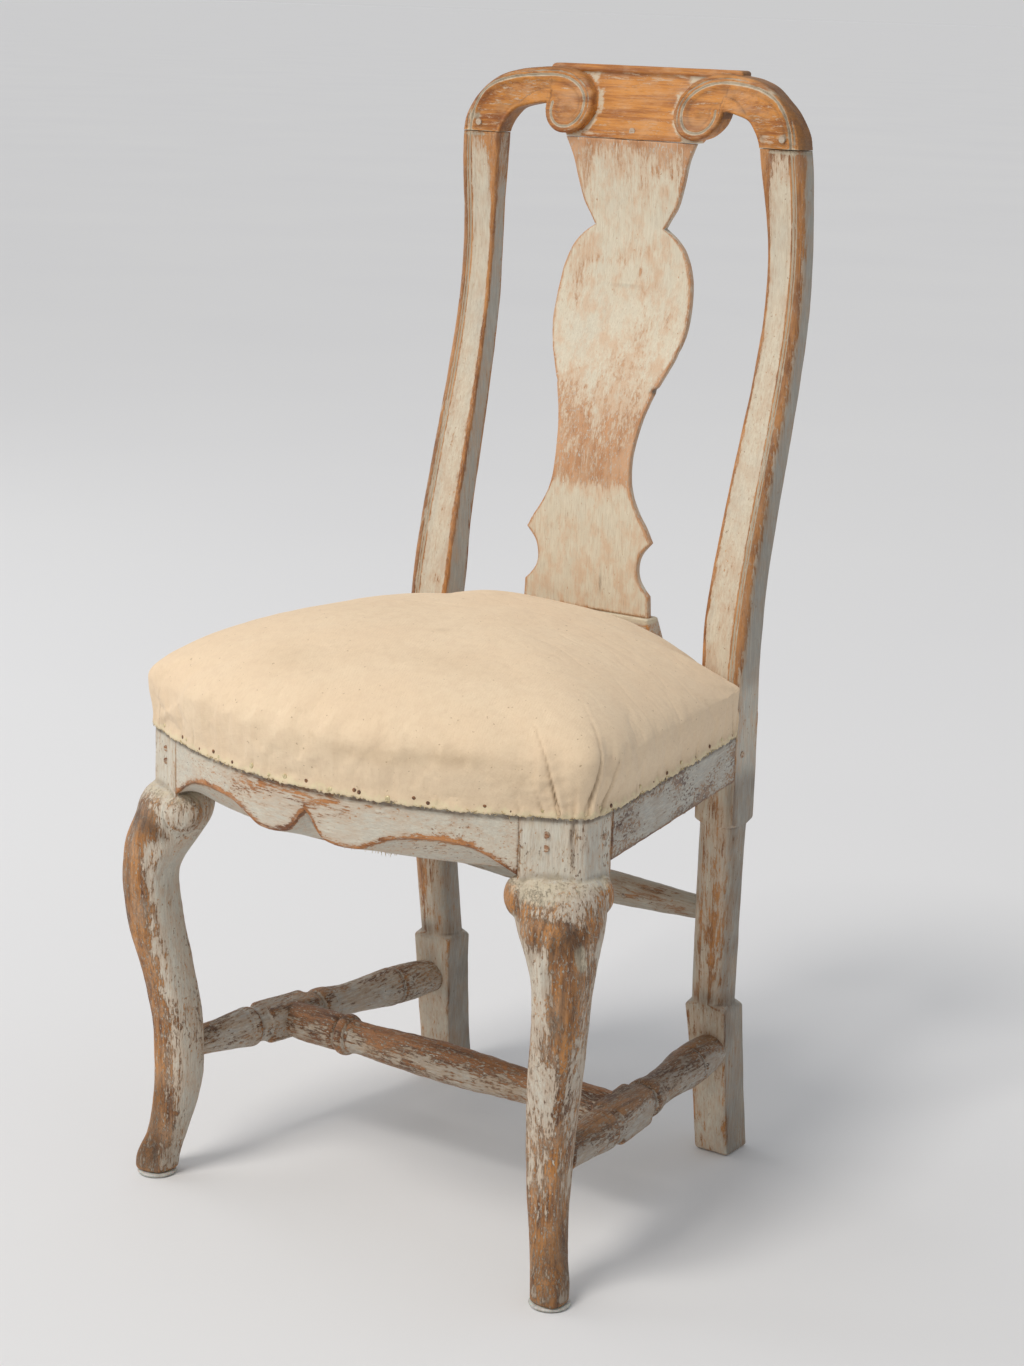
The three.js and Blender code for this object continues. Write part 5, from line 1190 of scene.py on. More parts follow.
def solid_arm():
    """The carved face, its copy as the back, and walls bridged between their rims."""
    bm = arm_mesh()
    front = list(bm.verts)
    doubled = bmesh.ops.duplicate(bm, geom=bm.verts[:] + bm.edges[:] + bm.faces[:])
    copies = [v for v in doubled["geom"] if isinstance(v, bmesh.types.BMVert)]
    for verts, base, way in ((front, ARM_FRONT, 1), (copies, ARM_FRONT + ARM_DEPTH, -1)):
        points = np.array([(v.co.x, v.co.z) for v in verts])
        for v, depth in zip(verts, arm_relief(points, back=way < 0)):
            v.co.y = base + way * depth + arm_lean(v.co.x, v.co.z)
    made = bmesh.ops.bridge_loops(bm, edges=[e for e in bm.edges if e.is_boundary])
    wall_faces = set(made["faces"])
    walls = [e for e in bm.edges if e.is_manifold and all(f in wall_faces for f in e.link_faces)]
    bmesh.ops.subdivide_edges(bm, edges=walls, cuts=7, use_grid_fill=True)
    bmesh.ops.recalc_face_normals(bm, faces=bm.faces)
    return bm


def slab_ring(z, face, front, edge, rear, back):
    """A ring of a flat piece: its face, its right edge, its rear, and the same edge on the left."""
    right = [(x, y, z) for x, y in edge]
    left = [(-x, y, z) for x, y in edge[::-1]]
    return [(x, front, z) for x in face] + right + [(x, back, z) for x in rear] + left


def quarter_round(radius, left):
    """How far a rounded arris draws in where a distance is left to its end."""
    return radius - math.sqrt(max(radius ** 2 - max(radius - left, 0) ** 2, 0))


def tablet_ring(z):
    share = np.clip((z - CREST_BOTTOM) / (TABLET_LIP - CREST_BOTTOM), 0, 1)
    half = 109.0 if z > TABLET_LIP else mix(74, 108, share ** 0.9)
    half -= quarter_round(4.5, TOP - z)
    soft, lean = quarter_round(1.8, TOP - z), arm_lean(0, z)
    front = ARM_FRONT + 10 - 2.0 * ease(TABLET_LIP - 2.2, TABLET_LIP + 1.6, z) + soft + lean
    back = ARM_FRONT + 25 - soft + lean
    x = np.linspace(-half + 2, half - 2, 120)
    edge = [(half - 0.6, front + 0.6), (half, front + 2), (half, back - 2), (half - 0.6, back - 0.6)]
    return slab_ring(z, x, front, edge, x[::-4], back)


def crest_extra(w):
    x, z = np.abs(w.x), w.z
    points = np.column_stack([x, z])
    line, rim, outer = (distance_to(path, points) for path in (ARM_LINE, ARM_RIM, ARM_OVER))
    within = inside(ARM_OUTLINE, points) | (outer < 0.8)
    depth = w.y - ARM_FRONT - arm_lean(x, z)
    on_arm = within & (depth < 8.5)
    w.filler += on_arm * (1.1 * hump(line, 1.5) + 0.4 * hump(rim, 1.0)) + 0.5 * hump(z - CREST_BOTTOM - 0.5, 1.1)
    # Paint stays where the tablet meets the volutes and in its lower corners.
    tablet = (~within) & (depth > 6) & (depth < 14) & (z < 1050)
    ragged = rippled(x / 12, 2.0, z / 12) + 0.6 * rippled(x / 3, 8.0, z / 3)
    w.filler += tablet * (0.62 + 0.3 * ragged) * hump(outer, 8.5 + 4 * ragged) * (z > 988)
    w.grime_and_shade += tablet * 0.35 * hump(outer, 1.6)
    # Sides and the back keep more paint, and are darker out on the arms.
    away = 1 - ease(0.1, 0.6, w.front)
    w.bare -= 0.6 * away
    w.grime_and_shade += 0.75 * away * (x > 100) + 0.25 * on_arm * hump(outer, 3.0) * (x > 150)
    clouds = np.clip(rippled(x / 13, 4.0, z / 10), 0, 1)
    w.grime_and_shade += on_arm * (0.06 + 0.55 * clouds + 0.2 * hump(outer - 1.5, 2.5))
    # Faces turned to the right on the right arm get painted shade.
    w.grime_and_shade += (0.75 + 0.5 * ragged) * ease(80, 130, w.x) * ease(0.25, 0.7, w.normal[:, 0])
    # Creamier to the front: partly the paint, partly painted shade on the sides
    w.warm = w.front


bm = solid_arm()
add_in(bm, to_side(bm.copy(), -1))
tablet_heights = spans(CREST_BOTTOM + GAP, (989.5, 1049, 1.5), (1049.2, 1056.9, 0.5), TOP - 0.03)
add_in(bm, skin([tablet_ring(z) for z in tablet_heights]))
piece(
    hand_made(bm, 30, 0.25, 21.0), "scrolled_crest", crest_finish, ["crest_rail"],
    worn(
        edge=0.4, spread=2, extra=crest_extra,
        rubbed=[(0, 450, 1030, 60, 30, 20, 0.25)],
        pale=[
            (-178, 430, 1003, 9, 10, 4, 0.7), (-186, 430, 1010, 4, 10, 3, 0.5), (172, 430, 999, 10, 10, 4, 0.55),
            (150, 430, 1040, 40, 12, 4, 0.2), (-146, 432, 1038, 12, 10, 5, 0.3),
        ],
        dirt=[
            (185, 445, 1010, 20, 20, 40, 0.35), (-52, 452, 1052, 60, 10, 2, 0.35), (60, 470, 1054, 60, 10, 2, 0.3),
            (103, 440, 1012, 6, 10, 6, 0.35),
        ],
    ),
)


# Back splat and its shoe

SPLAT_BOTTOM, SPLAT_FRONT, SPLAT_RAKE, SPLAT_HALF, SPLAT_THICKNESS = 534.5, 388.0, 54.0, 77.0, 10.0
BASE_ROWS = [[0, 0.95], [0.045, 0.937]]
COVE_ROWS = [[0.045, 0.937], [0.06, 0.85], [0.08, 0.772], [0.108, 0.753], [0.135, 0.8], [0.162, 0.937]]
BELLY_ROWS = [
    [0.162, 0.937], [0.19, 0.845], [0.22, 0.725], [0.255, 0.625], [0.29, 0.575], [0.345, 0.565],
    [0.41, 0.615], [0.455, 0.685], [0.49, 0.76], [0.52, 0.835], [0.555, 0.92], [0.6, 0.99], [0.64, 1],
    [0.68, 0.985], [0.725, 0.94], [0.77, 0.83], [0.797, 0.69], [0.817, 0.517],
]
NECK_ROWS = [[0.817, 0.517], [0.835, 0.58], [0.865, 0.69], [0.91, 0.775], [0.96, 0.85], [1, 0.955]]
RAKE_ROWS = [
    [0, 0], [0.16, 0], [0.27, 0.02], [0.33, 0.06], [0.39, 0.17], [0.46, 0.33], [0.53, 0.53], [0.6, 0.73],
    [0.68, 0.9], [0.76, 0.98], [0.83, 1], [0.9, 0.97], [1, 0.9],
]


def splat_ring(share):
    z = mix(SPLAT_BOTTOM, CREST_BOTTOM, share)
    rows = next(r for r in (BASE_ROWS, COVE_ROWS, BELLY_ROWS, NECK_ROWS) if share <= r[-1][0])
    half = SPLAT_HALF * between(rows, share)
    front = SPLAT_FRONT + SPLAT_RAKE * between(RAKE_ROWS, share)
    back = front + SPLAT_THICKNESS
    edge = [
        (half - 0.9, front + 0.12), (half - 0.3, front + 0.5), (half, front + 1.4), (half, front + 4),
        (half - 0.2, back - 3.4), (half - 1.6, back - 1.0), (half - 3.4, back - 0.1),
    ]
    face, rear = np.linspace(-half + 1.6, half - 1.6, 84), np.linspace(half - 5.5, -half + 5.5, 40)
    return slab_ring(z, face, front, edge, rear, back)


def splat_extra(w):
    # A pinkish worn band below the belly, and rubbed wood under the tablet
    ragged = 9 * rippled(w.x / 11, 3.0, w.z / 30) + 7 * rippled(w.x / 3, 5.0, w.z / 22)
    band = ease(646 + ragged, 666 + ragged, w.z) * (1 - ease(704, 800, w.z + ragged))
    aside = np.clip(np.abs(w.x) / 72, 0, 1)
    head = (0.66 + 0.4 * aside ** 2) * ease(915, 988, w.z + 2.2 * ragged) + 0.3 * hump(w.z - 985, 5.0)
    w.bare += w.front * (0.95 * band + head) - 0.2 * (1 - w.front)
    # Creamier to the front: partly the paint, partly painted shade on the sides
    w.warm = 0.15 + 0.85 * w.front


splat_shares = np.unique(np.round(np.concatenate([np.linspace(0, 1, 226), [0.045, 0.162, 0.817]]), 5))
splat_shares[-1] = 1 - GAP / (CREST_BOTTOM - SPLAT_BOTTOM)
bm = hand_made(skin([splat_ring(s) for s in splat_shares]), 38, 0.4, 27.0)
# Small knocks in the edges
for x, z, depth in ((57, 753, 2.6), (-57, 753, 1.1), (70, 790, 0.8), (-72, 612, 0.8), (66, 606, 0.7)):
    for v in bm.verts:
        far = math.hypot(v.co.x - x, v.co.z - z)
        if far < 6:
            v.co.x -= math.copysign(depth * math.exp(-(far / 2.2) ** 2), x)
piece(
    bm, "shaped_splat", splat_paint, ["back_splat"],
    worn(
        edge=1.15, spread=3, extra=splat_extra,
        rubbed=[
            (-54, 430, 846, 9, 30, 26, 0.6), (34, 430, 800, 12, 30, 24, 0.5), (10, 430, 776, 12, 30, 20, 0.4),
            (-20, 440, 872, 26, 30, 5, 0.45), (18, 440, 862, 6, 30, 6, 0.7), (24, 440, 842, 6, 30, 5, 0.6),
            (56, 440, 820, 10, 30, 12, 0.45), (-40, 430, 790, 8, 30, 8, 0.3), (30, 430, 850, 12, 30, 5, 0.35),
            (46, 400, 668, 10, 30, 10, 0.4), (-24, 400, 690, 8, 30, 12, -0.4), (30, 430, 724, 14, 30, 16, 0.3),
            (-70, 400, 600, 10, 30, 24, 0.35), (0, 440, 880, 20, 30, 6, 0.3), (-44, 440, 870, 14, 30, 20, 0.3),
        ],
        dirt=[
            (56, 415, 753, 3.6, 12, 3.0, 1.6), (-57, 415, 753, 1.6, 12, 2.0, 0.9), (17, 390, 562, 1.1, 5, 9, 0.9),
            (4, 438, 848, 18, 12, 0.9, 0.6), (-74, 396, 560, 6, 8, 16, 0.2),
        ],
    ),
)

SHOE_FOOT_HALF, SHOE_HEAD_HALF = 112.0, 75.0


def shoe_ring(z):
    low, high = RAIL_TOP + GAP, SPLAT_BOTTOM - GAP
    share = (z - low) / (high - low)
    soft = quarter_round(1.4, high - z)
    half = mix(SHOE_FOOT_HALF, SHOE_HEAD_HALF, share ** 0.7) - soft
    front, back = mix(380, 384, share) + soft, 404 - soft
    x = np.linspace(-half + 1.4, half - 1.4, 90)
    edge = [(half - 0.4, front + 0.4), (half, front + 1.4), (half, back - 1.4), (half - 0.4, back - 0.4)]
    return slab_ring(z, x, front, edge, x[::-3], back)


def shoe_extra(w):
    top = ease(526, 533, w.z)
    w.bare += 0.6 * w.front * (1 - top)
    w.arris *= 0.4
    w.filler += 0.8 * top
    # Creamier to the front: partly the paint, partly painted shade on the sides
    w.warm = 0.3 + 0.5 * w.front


shoe_heights = spans((RAIL_TOP + GAP, 530, 2.2), (530.5, 534, 0.5), SPLAT_BOTTOM - GAP - 0.01)
piece(
    hand_made(skin([shoe_ring(z) for z in shoe_heights]), 30, 0.3, 31.0),
    "splat_foot", shoe_finish, ["splat_shoe"], worn(edge=0.8, spread=2, extra=shoe_extra),
)


# Turned stretchers

SIDE_ROWS = [
    [0, 0.7], [0.09, 0.72], [0.17, 0.84], [0.22, 0.93], [0.25, 0.99], [0.265, 0.97], [0.275, 0.86],
    [0.29, 0.88], [0.485, 0.88], [0.495, 0.84], [0.51, 0.95], [0.535, 0.94], [0.57, 0.84], [0.62, 0.8],
    [0.69, 0.86], [0.76, 0.97], [0.795, 1], [0.8, 0.96], [0.81, 1], [0.87, 0.98], [0.92, 0.91], [1, 0.8],
]
CROSS_ROWS = [
    [0, 0.88], [0.045, 0.88], [0.1, 0.92], [0.17, 0.92], [0.184, 0.84], [0.193, 1], [0.208, 1],
    [0.22, 0.86], [0.235, 0.79], [0.3, 0.83], [0.4, 0.92], [0.5, 0.96],
]
REAR_ROWS = [[0, 0.64], [0.1, 0.71], [0.3, 0.92], [0.5, 1]]
SIDE_GROOVES = (0.268, 1.2, 1.8), (0.497, 1.3, 2.0), (0.8, 1.2, 1.8), (0.55, 1.2, 1.0), (0.235, 1.2, 0.8)
CROSS_GROOVES = (0.184, 1.2, 1.6), (0.816, 1.2, 1.6), (0.216, 1.2, 1.6), (0.784, 1.2, 1.6)
BLOCK_SHARE, BLOCK_SIZE, BLOCK_LENGTH = 0.387, 36.0, 70.0


def post_middle(z, aside=0.0):
    inner, outer, front, back = post_plan(z)[:4]
    return Vector(((inner + outer) / 2 + aside, (front + back) / 2, z))


def leg_centre(z, aside=0.0):
    swept = sweep_at(z) * DIAGONAL
    return Vector((LEG_MIDDLE[0] + swept + aside, LEG_MIDDLE[1] - swept, z))


SIDE_START, SIDE_END = leg_centre(126, 5), post_middle(113, 1)


def turned_bar(start, end, rows, radius, trim, grooves=(), spacing=1.6, steps=48):
    """A bar turned about the line from start to end: rings of its radius, with cut grooves."""
    length = (end - start).length
    at = np.arange(trim, length - trim, spacing)
    size = radius * between(rows, at / length)
    for place, width, depth in grooves:
        size = size - depth * hump(at - place * length, width)
    angle = np.linspace(0, TURN, steps, endpoint=False)
    ring = np.column_stack([np.cos(angle), np.sin(angle), np.zeros(steps)])
    spin = np.array(pointing(end - start))
    return skin([np.array(start) + (ring * (r, r, 1) + (0, 0, a)) @ spin.T for a, r in zip(at, size)])


def stretcher_block():
    """The square block in the bar; it keeps two faces level, so it is set without twisting it."""
    block = bmesh.new()
    bmesh.ops.create_cube(block, size=1.0)
    bmesh.ops.scale(block, vec=(BLOCK_SIZE, BLOCK_SIZE, BLOCK_LENGTH), verts=block.verts)
    bmesh.ops.bevel(
        block, geom=block.edges[:], offset=6.5, offset_type="OFFSET", segments=5, profile=0.5, affect="EDGES",
        material=-1,
    )
    way = (SIDE_END - SIDE_START).normalized()
    aside = way.cross(Vector((0, 0, 1))).normalized()
    turn = Matrix((aside, aside.cross(way).normalized(), way)).transposed()
    return set_at(block, SIDE_START.lerp(SIDE_END, BLOCK_SHARE), turn)


def bar_wear(side):
    def extra(w):
        up = np.clip(w.normal[:, 2], 0, 1)
        w.bare += 0.5 * up ** 1.1 - (0.22 if side < 0 else 0)
        w.grime_and_shade += (0.3 if side >= 0 else 0.12) * up + (0.22 if side > 0 else 0)
        # Creamier to the front: partly the paint, partly painted shade on the sides
        w.warm = 0.35 + 0.25 * w.front
    return worn(edge=0.7, spread=3, extra=extra)


for name, side in SIDES:
    bm = turned_bar(SIDE_START, SIDE_END, SIDE_ROWS, 20, 14, SIDE_GROOVES)
    add_in(bm, stretcher_block())
    bm = hand_made(to_side(grown_together(bm, 1.25, 2), side), 20, 0.55, 35.0 + side)
    piece(
        bm, f"{name}_turned_stretcher", side_bar_paint, [f"{name}_side_stretcher"], bar_wear(side),
    )


def across_bar(end, rows, radius, trim, **turning):
    """A bar from side to side whose two halves are alike."""
    rows = rows + [[1 - at, size] for at, size in rows[:-1]][::-1]
    return turned_bar(Vector((-end.x, end.y, end.z)), end, rows, radius, trim, **turning)


cross_end = SIDE_START.lerp(SIDE_END, BLOCK_SHARE)
bm = across_bar(cross_end, CROSS_ROWS, 20, 10, grooves=CROSS_GROOVES, spacing=1.3, steps=64)
piece(
    hand_made(bm, 18, 0.8, 41.0), "turned_cross_stretcher", cross_bar_paint, ["cross_stretcher"],
    bar_wear(0),
)
piece(
    hand_made(across_bar(post_middle(257), REAR_ROWS, 17, 8, spacing=2.0), 24, 0.6, 44.0),
    "turned_rear_stretcher", rear_rail_paint, ["rear_stretcher"],
    worn(
        edge=0.6, tone=0.4,
        rubbed=[(80, 380, 262, 40, 14, 8, 0.5), (135, 380, 252, 18, 14, 8, 0.4), (-90, 380, 260, 30, 14, 8, 0.4)],
    ),
)


# Glides

def glide_mesh(x, y):
    """A nylon button: its half section spun round, with a rounded rim."""
    bm = bmesh.new()
    section = [(0, 0), (14.5, 0), (16.8, 0.35), (18.3, 1.2), (18.9, 2.4), (18.2, 3.4), (16.6, 3.95), (12, 4), (0, 4)]
    verts = [bm.verts.new((r, 0, z)) for r, z in section]
    edges = [bm.edges.new(pair) for pair in zip(verts[:-1], verts[1:])]
    bmesh.ops.spin(
        bm, geom=verts + edges, cent=(0, 0, 0), axis=(0, 0, 1), angle=TURN, steps=56, use_merge=True,
    )
    bmesh.ops.remove_doubles(bm, verts=bm.verts, dist=0.01)
    bmesh.ops.recalc_face_normals(bm, faces=bm.faces)
    bmesh.ops.translate(bm, vec=(x, y, 0), verts=bm.verts)
    return bm


foot = leg_centre(GLIDE_HEIGHT)
for name, side in SIDES:
    bm = glide_mesh(side * foot.x, foot.y)
    piece(bm, f"{name}_glide_button", glide_nylon, [f"{name}_foot_glide"])


# Muslin over the stuffing

MUSLIN_EDGE, PAD_FLOOR, SIDE_TOP, SHOULDER, CROWN = 446.0, 467.0, 491.0, 525.0, 564.0
BULGE, MUSLIN, RING_SPACING = 4.0, 1.2, 1.6
CUSHION_BACK = 377.0
MIDDLE_Y = (BLOCK_BACK + POST_FRONT) / 2
MIDDLE = np.array((0, MIDDLE_Y))

# Pleats at the corners: (x, y) of the foot, height, lean along the edge, width, depth
PLEATS = [
    (225, 15, 50, -0.26, 3.6, 5.0), (234, 22, 26, 0.02, 3.0, 2.6), (240, 29, 60, 0.22, 3.8, 4.2),
    (243, 44, 36, 0.55, 3.8, 2.8), (212, 9, 26, -0.3, 3.6, 1.4), (196, -1, 22, -0.3, 4.5, 0.9),
    (-222, 14, 40, 0.2, 3.8, 2.0), (-236, 24, 46, -0.1, 3.8, 2.4), (-243, 46, 40, -0.35, 3.8, 1.8),
    (-150, -20, 30, 0.1, 5, 0.9), (-176, -8, 26, 0.2, 5, 0.9), (-60, -45, 26, 0.2, 6, 0.7),
    (60, -45, 26, -0.15, 6, 0.6), (130, -26, 24, -0.2, 5, 0.7), (215, 250, 30, 0.2, 5, 0.8),
    (228, 160, 26, -0.1, 5, 0.8), (236, 110, 26, 0.2, 5, 0.8), (199, 345, 40, -0.3, 4, 1.4),
    (-199, 345, 40, 0.3, 4, 1.4),
]

# Tacks along the raw edge: (x, y) near which each one sits, and whether it is a large pale head
SIDE_TACKS = [
    (243, 44), (243, 62), (238, 96), (233, 122), (229, 150), (224, 182), (219, 214), (213, 248), (208, 282),
    (203, 312), (199, 338),
]
TACKS = [
    (-236, 22, 0), (-214, 10, 0), (-190, 0, 1), (-172, -9, 0), (-166, -12, 0), (-140, -22, 0), (-118, -30, 0),
    (-108, -33, 0), (-88, -39, 0), (-62, -44, 1), (-40, -47, 0), (-20, -49, 1), (4, -50, 0), (28, -49, 1),
    (52, -46, 0), (58, -45, 0), (84, -40, 1), (108, -34, 0), (120, -30, 0), (142, -22, 0), (166, -12, 0),
    (186, -2, 0), (210, 9, 0), (226, 16, 0), (238, 24, 0),
    *[(x, y, 0) for x, y in SIDE_TACKS], *[(-x, y + 9, 0) for x, y in SIDE_TACKS],
]


def smoothed(ring, passes):
    for _ in range(passes):
        ring = 0.5 * ring + 0.25 * np.roll(ring, 1, axis=0) + 0.25 * np.roll(ring, -1, axis=0)
    return ring


def seat_ring():
    """The seat's plan as evenly spaced points of x, y, swell, level of the edge; and its outward ways."""
    half = [(x, rail_face(x), 1, 0) for x in np.linspace(0, JOINT_HALF - 3, 40)]
    half += [(p.x, p.y, 1, 0) for p in block_plan()[1:-1]]
    half += [
        (side_line(y), y, 1 - ((y - BLOCK_BACK) / (POST_FRONT - BLOCK_BACK)) ** 6, 0)
        for y in np.linspace(BLOCK_BACK + 4, POST_FRONT - 10, 40)
    ]
    face = POST_FRONT - 2 * GAP - MUSLIN
    inner = BACK_HALF - POST_WIDTH * 1.08 - 2 * GAP - MUSLIN
    half += [(mix(side_line(face) + GAP, inner, t), face, 0, 1) for t in np.linspace(0.0, 1, 12)]
    half += [(inner * t, CUSHION_BACK, 0, 1) for t in np.linspace(1, 0, 30)]
    half = np.array(half, float)
    ring = spaced(np.vstack([half, half[1:-1][::-1] * (-1, 1, 1, 1)]), RING_SPACING)
    ring[:, :2] = smoothed(ring[:, :2], 5)
    tangent = np.roll(ring[:, :2], -1, axis=0) - np.roll(ring[:, :2], 1, axis=0)
    normal = np.column_stack([tangent[:, 1], -tangent[:, 0]])
    return ring, smoothed(normal / np.linalg.norm(normal, axis=1)[:, None], 8)


SEAT, OUTWARD = seat_ring()


def shoulder_height(x, y):
    across, depth = np.abs(x) / BACK_HALF, np.clip(y / POST_FRONT, 0, 1)
    lopsided = -5.0 * np.clip(x / BACK_HALF, -1, 1) * ease(0, 0.5, depth)
    outer = np.clip((across - 0.5) / 0.5, 0, 1)
    return SHOULDER + 14 * depth ** 2 * (1 - across ** 2) - 18 * outer * depth ** 6 + lopsided


def cushion_rings():
    """Rings from the hidden underside round the raw edge and up over the shoulder to the crown."""
    plan, swell, level = SEAT[:, :2], SEAT[:, 2], SEAT[:, 3]
    count = len(plan)
    close = plan + OUTWARD * (GAP + MUSLIN)
    swollen = close + OUTWARD * (BULGE * swell)[:, None]
    rounded, more_rounded = smoothed(swollen, 150), smoothed(swollen, 1000)
    high = smoothed(shoulder_height(plan[:, 0], plan[:, 1]), 80)
    along = RING_SPACING * np.arange(count)
    edge = smoothed(np.where(level > 0.5, PAD_FLOOR, MUSLIN_EDGE), 5)
    wave = rippled(along / 16, 4.0, 0) + 0.6 * rippled(along / 5, 9.0, 0)
    ragged = edge + (2.2 * wave + 2.0 * rippled(along / 2.3, 7.0, 3.0)) * (level < 0.5)
    lift = 0.6 + 2.6 * np.clip(rippled(along / 26, 1.0, 5.0) + 0.35, 0, 1)
    rows = []

    def row(points, heights):
        rows.append(np.column_stack([points, np.broadcast_to(heights, count)]))

    for share in np.linspace(0, 0.985, 5):  # the underside, hidden on the frame
        row(MIDDLE + (plan - MIDDLE) * share * 0.97, PAD_FLOOR)
    inner, tucked = plan + OUTWARD * GAP, np.maximum(PAD_FLOOR - 3, ragged)
    for share in (0, 0.5, 1.0):
        row(inner + OUTWARD * (lift * share)[:, None], mix(tucked, ragged, share))
    row(inner + OUTWARD * (lift + MUSLIN * 0.5)[:, None], ragged - 0.5)
    for share in np.linspace(0, 1, 30):
        out = mix(inner + OUTWARD * (lift + MUSLIN)[:, None], close, ease(0, 0.25, share))
        row(mix(out, swollen, ease(0.08, 0.8, share)), mix(ragged, SIDE_TOP, share))
    # One domed line from the side over the shoulder to the crown
    crown = CROWN + 3.0 * np.clip(-plan[:, 0] / BACK_HALF, -1, 1)
    fullness = np.log(np.clip((high - SIDE_TOP) / (crown - SIDE_TOP), 0.05, 0.9)) / math.log(1 - 0.88 ** 2.2)
    fullness = smoothed(np.clip(fullness, 0.3, 0.85), 150)
    for turn in np.concatenate([np.linspace(0.02, 0.5, 30), np.linspace(0.515, 1, 46)]):
        share = math.cos(turn * math.pi / 2) ** 0.9
        body = mix(mix(swollen, rounded, ease(0.05, 0.36, turn)), more_rounded, ease(0.3, 0.85, turn))
        peak = mix(crown, CROWN, ease(0.5, 1, turn))
        row(MIDDLE + (body - MIDDLE) * share, mix(SIDE_TOP, peak, (1 - share ** 2.2) ** fullness))
    return np.array(rows), along


def finder(points):
    tree = KDTree(len(points))
    for k, point in enumerate(points):
        tree.insert(point, k)
    tree.balance()
    return tree


def settled(rings):
    """Simulates the cloth: held by its tacks and at the crown, pressed out by the stuffing, and left to settle.

    Only the pulls between the tacks are kept, at most 3 mm, on top of the measured form."""
    rows = np.concatenate([np.arange(9, 39, 3), np.arange(39, len(rings) - 16, 2)])
    columns = np.arange(0, rings.shape[1], 4)
    start = rings[np.ix_(rows, columns)]
    bm = skin(start, capped=False)
    centre = Vector((0, MIDDLE_Y, 470))
    if sum(f.normal.dot(f.calc_center_median() - centre) for f in bm.faces) < 0:
        bmesh.ops.reverse_faces(bm, faces=bm.faces)
    bmesh.ops.scale(bm, vec=(MM, MM, MM), verts=bm.verts)
    mesh = mesh_of(bm, "settling")
    obj = in_scene("settling", mesh)
    tree = finder(start.reshape(-1, 3) * MM)
    row, column = np.divmod([tree.find(v.co)[1] for v in mesh.vertices], len(columns))

    tacks, foot = np.array(TACKS)[:, :2], start[0, :, :2]
    near = np.min(np.hypot(foot[:, None, 0] - tacks[:, 0], foot[:, None, 1] - tacks[:, 1]), axis=1)
    at_back = foot[:, 1] > POST_FRONT - 8
    hold = np.zeros(start.shape[:2])
    hold[0] = np.where(at_back | (near < 7), 1.0, 0.1)
    hold[1] = hold[0] * 0.6
    hold[:10, at_back] = 1.0
    hold[-2:] = 1.0
    pins = obj.vertex_groups.new(name="tacked")
    for v in mesh.vertices:
        pins.add([v.index], float(hold[row[v.index], column[v.index]]), "REPLACE")

    cloth = obj.modifiers.new("settling", "CLOTH")
    cloth.settings.quality = 6
    cloth.settings.use_pressure = True
    cloth.settings.uniform_pressure_force = 4
    cloth.settings.effector_weights.gravity = 0
    cloth.settings.vertex_group_mass = "tacked"
    cloth.settings.shrink_min = -0.008
    cloth.settings.bending_stiffness = 0.2
    cloth.point_cache.frame_start = 1
    cloth.point_cache.frame_end = 20
    for frame_number in range(1, 21):
        bpy.context.scene.frame_set(frame_number)
    done = obj.evaluated_get(bpy.context.evaluated_depsgraph_get()).to_mesh()
    moved = np.zeros(start.shape)
    for v in done.vertices:
        moved[row[v.index], column[v.index]] = np.array(v.co) / MM - start[row[v.index], column[v.index]]
    bpy.context.scene.frame_set(1)
    bpy.data.objects.remove(obj)
    bpy.data.meshes.remove(mesh)

    broad = smoothed(moved.transpose(1, 0, 2), 60).transpose(1, 0, 2)
    # The stuffing keeps the top taut: the pulls fade out above the shoulder.
    taut = mix(0.85, 0.12, ease(36, 62, rows))
    moved = (moved - broad * 0.85) * taut[:, None, None]
    length = np.linalg.norm(moved, axis=2, keepdims=True)
    moved = moved * (3.0 * np.tanh(length / 3.0) / np.maximum(length, 1e-6))
    count = rings.shape[1]
    fine = np.array([
        np.column_stack([np.interp(np.arange(count), columns, line[:, axis], period=count) for axis in range(3)])
        for line in moved
    ])
    shift = np.zeros(rings.shape)
    for r in range(rows[0], rows[-1]):
        k = np.searchsorted(rows, r, side="right") - 1
        shift[r] = mix(fine[k], fine[k + 1], (r - rows[k]) / (rows[k + 1] - rows[k]))
    shift[6], shift[7], shift[8] = 0.5 * shift[9], shift[9], shift[9]
    return rings + shift


rings, along = cushion_rings()
rings = settled(rings)
# Each pleat is pushed into the cloth, and its hollow is kept for painted shade.
pleat_shade = np.zeros(rings.shape[:2])
for x, y, reach, lean, width, depth in PLEATS:
    foot = np.argmin(np.hypot(rings[10, :, 0] - x, rings[10, :, 1] - y))
    for r in range(9, len(rings) - 40):
        up = rings[r, foot, 2] - MUSLIN_EDGE
        if up > reach * 1.5:
            continue
        strength = math.exp(-max(up, 0) / reach * 1.6) * ease(-1, 6, up)
        gap = (along - along[foot] - lean * up + along[-1] / 2) % along[-1] - along[-1] / 2
        ridge = hump(gap - width * 0.75, width) - 1.15 * hump(gap + width * 0.35, width * 0.36)
        rings[r, :, :2] += OUTWARD * (ridge * depth * strength)[:, None]
        pleat_shade[r] += hump(gap + width * 0.35, width * 0.28) * strength * depth / 2.2


def cushion():
    bm = skin(rings, capped=False)
    bm.normal_update()
    for v in bm.verts:
        if v.co.z < 450:
            continue
        soft = 0.8 * noise.noise(v.co / 60) + 0.35 * noise.noise(v.co / 19 + Vector((7, 1, 3)))
        creases = abs(noise.noise(Vector((v.co.x / 60, v.co.y / 24, v.co.z / 60)) + Vector((2, 8, 5))))
        v.co += v.normal * float(ease(450, 470, v.co.z)) * (soft - 0.45 * math.exp(-creases * 16))
    return bm


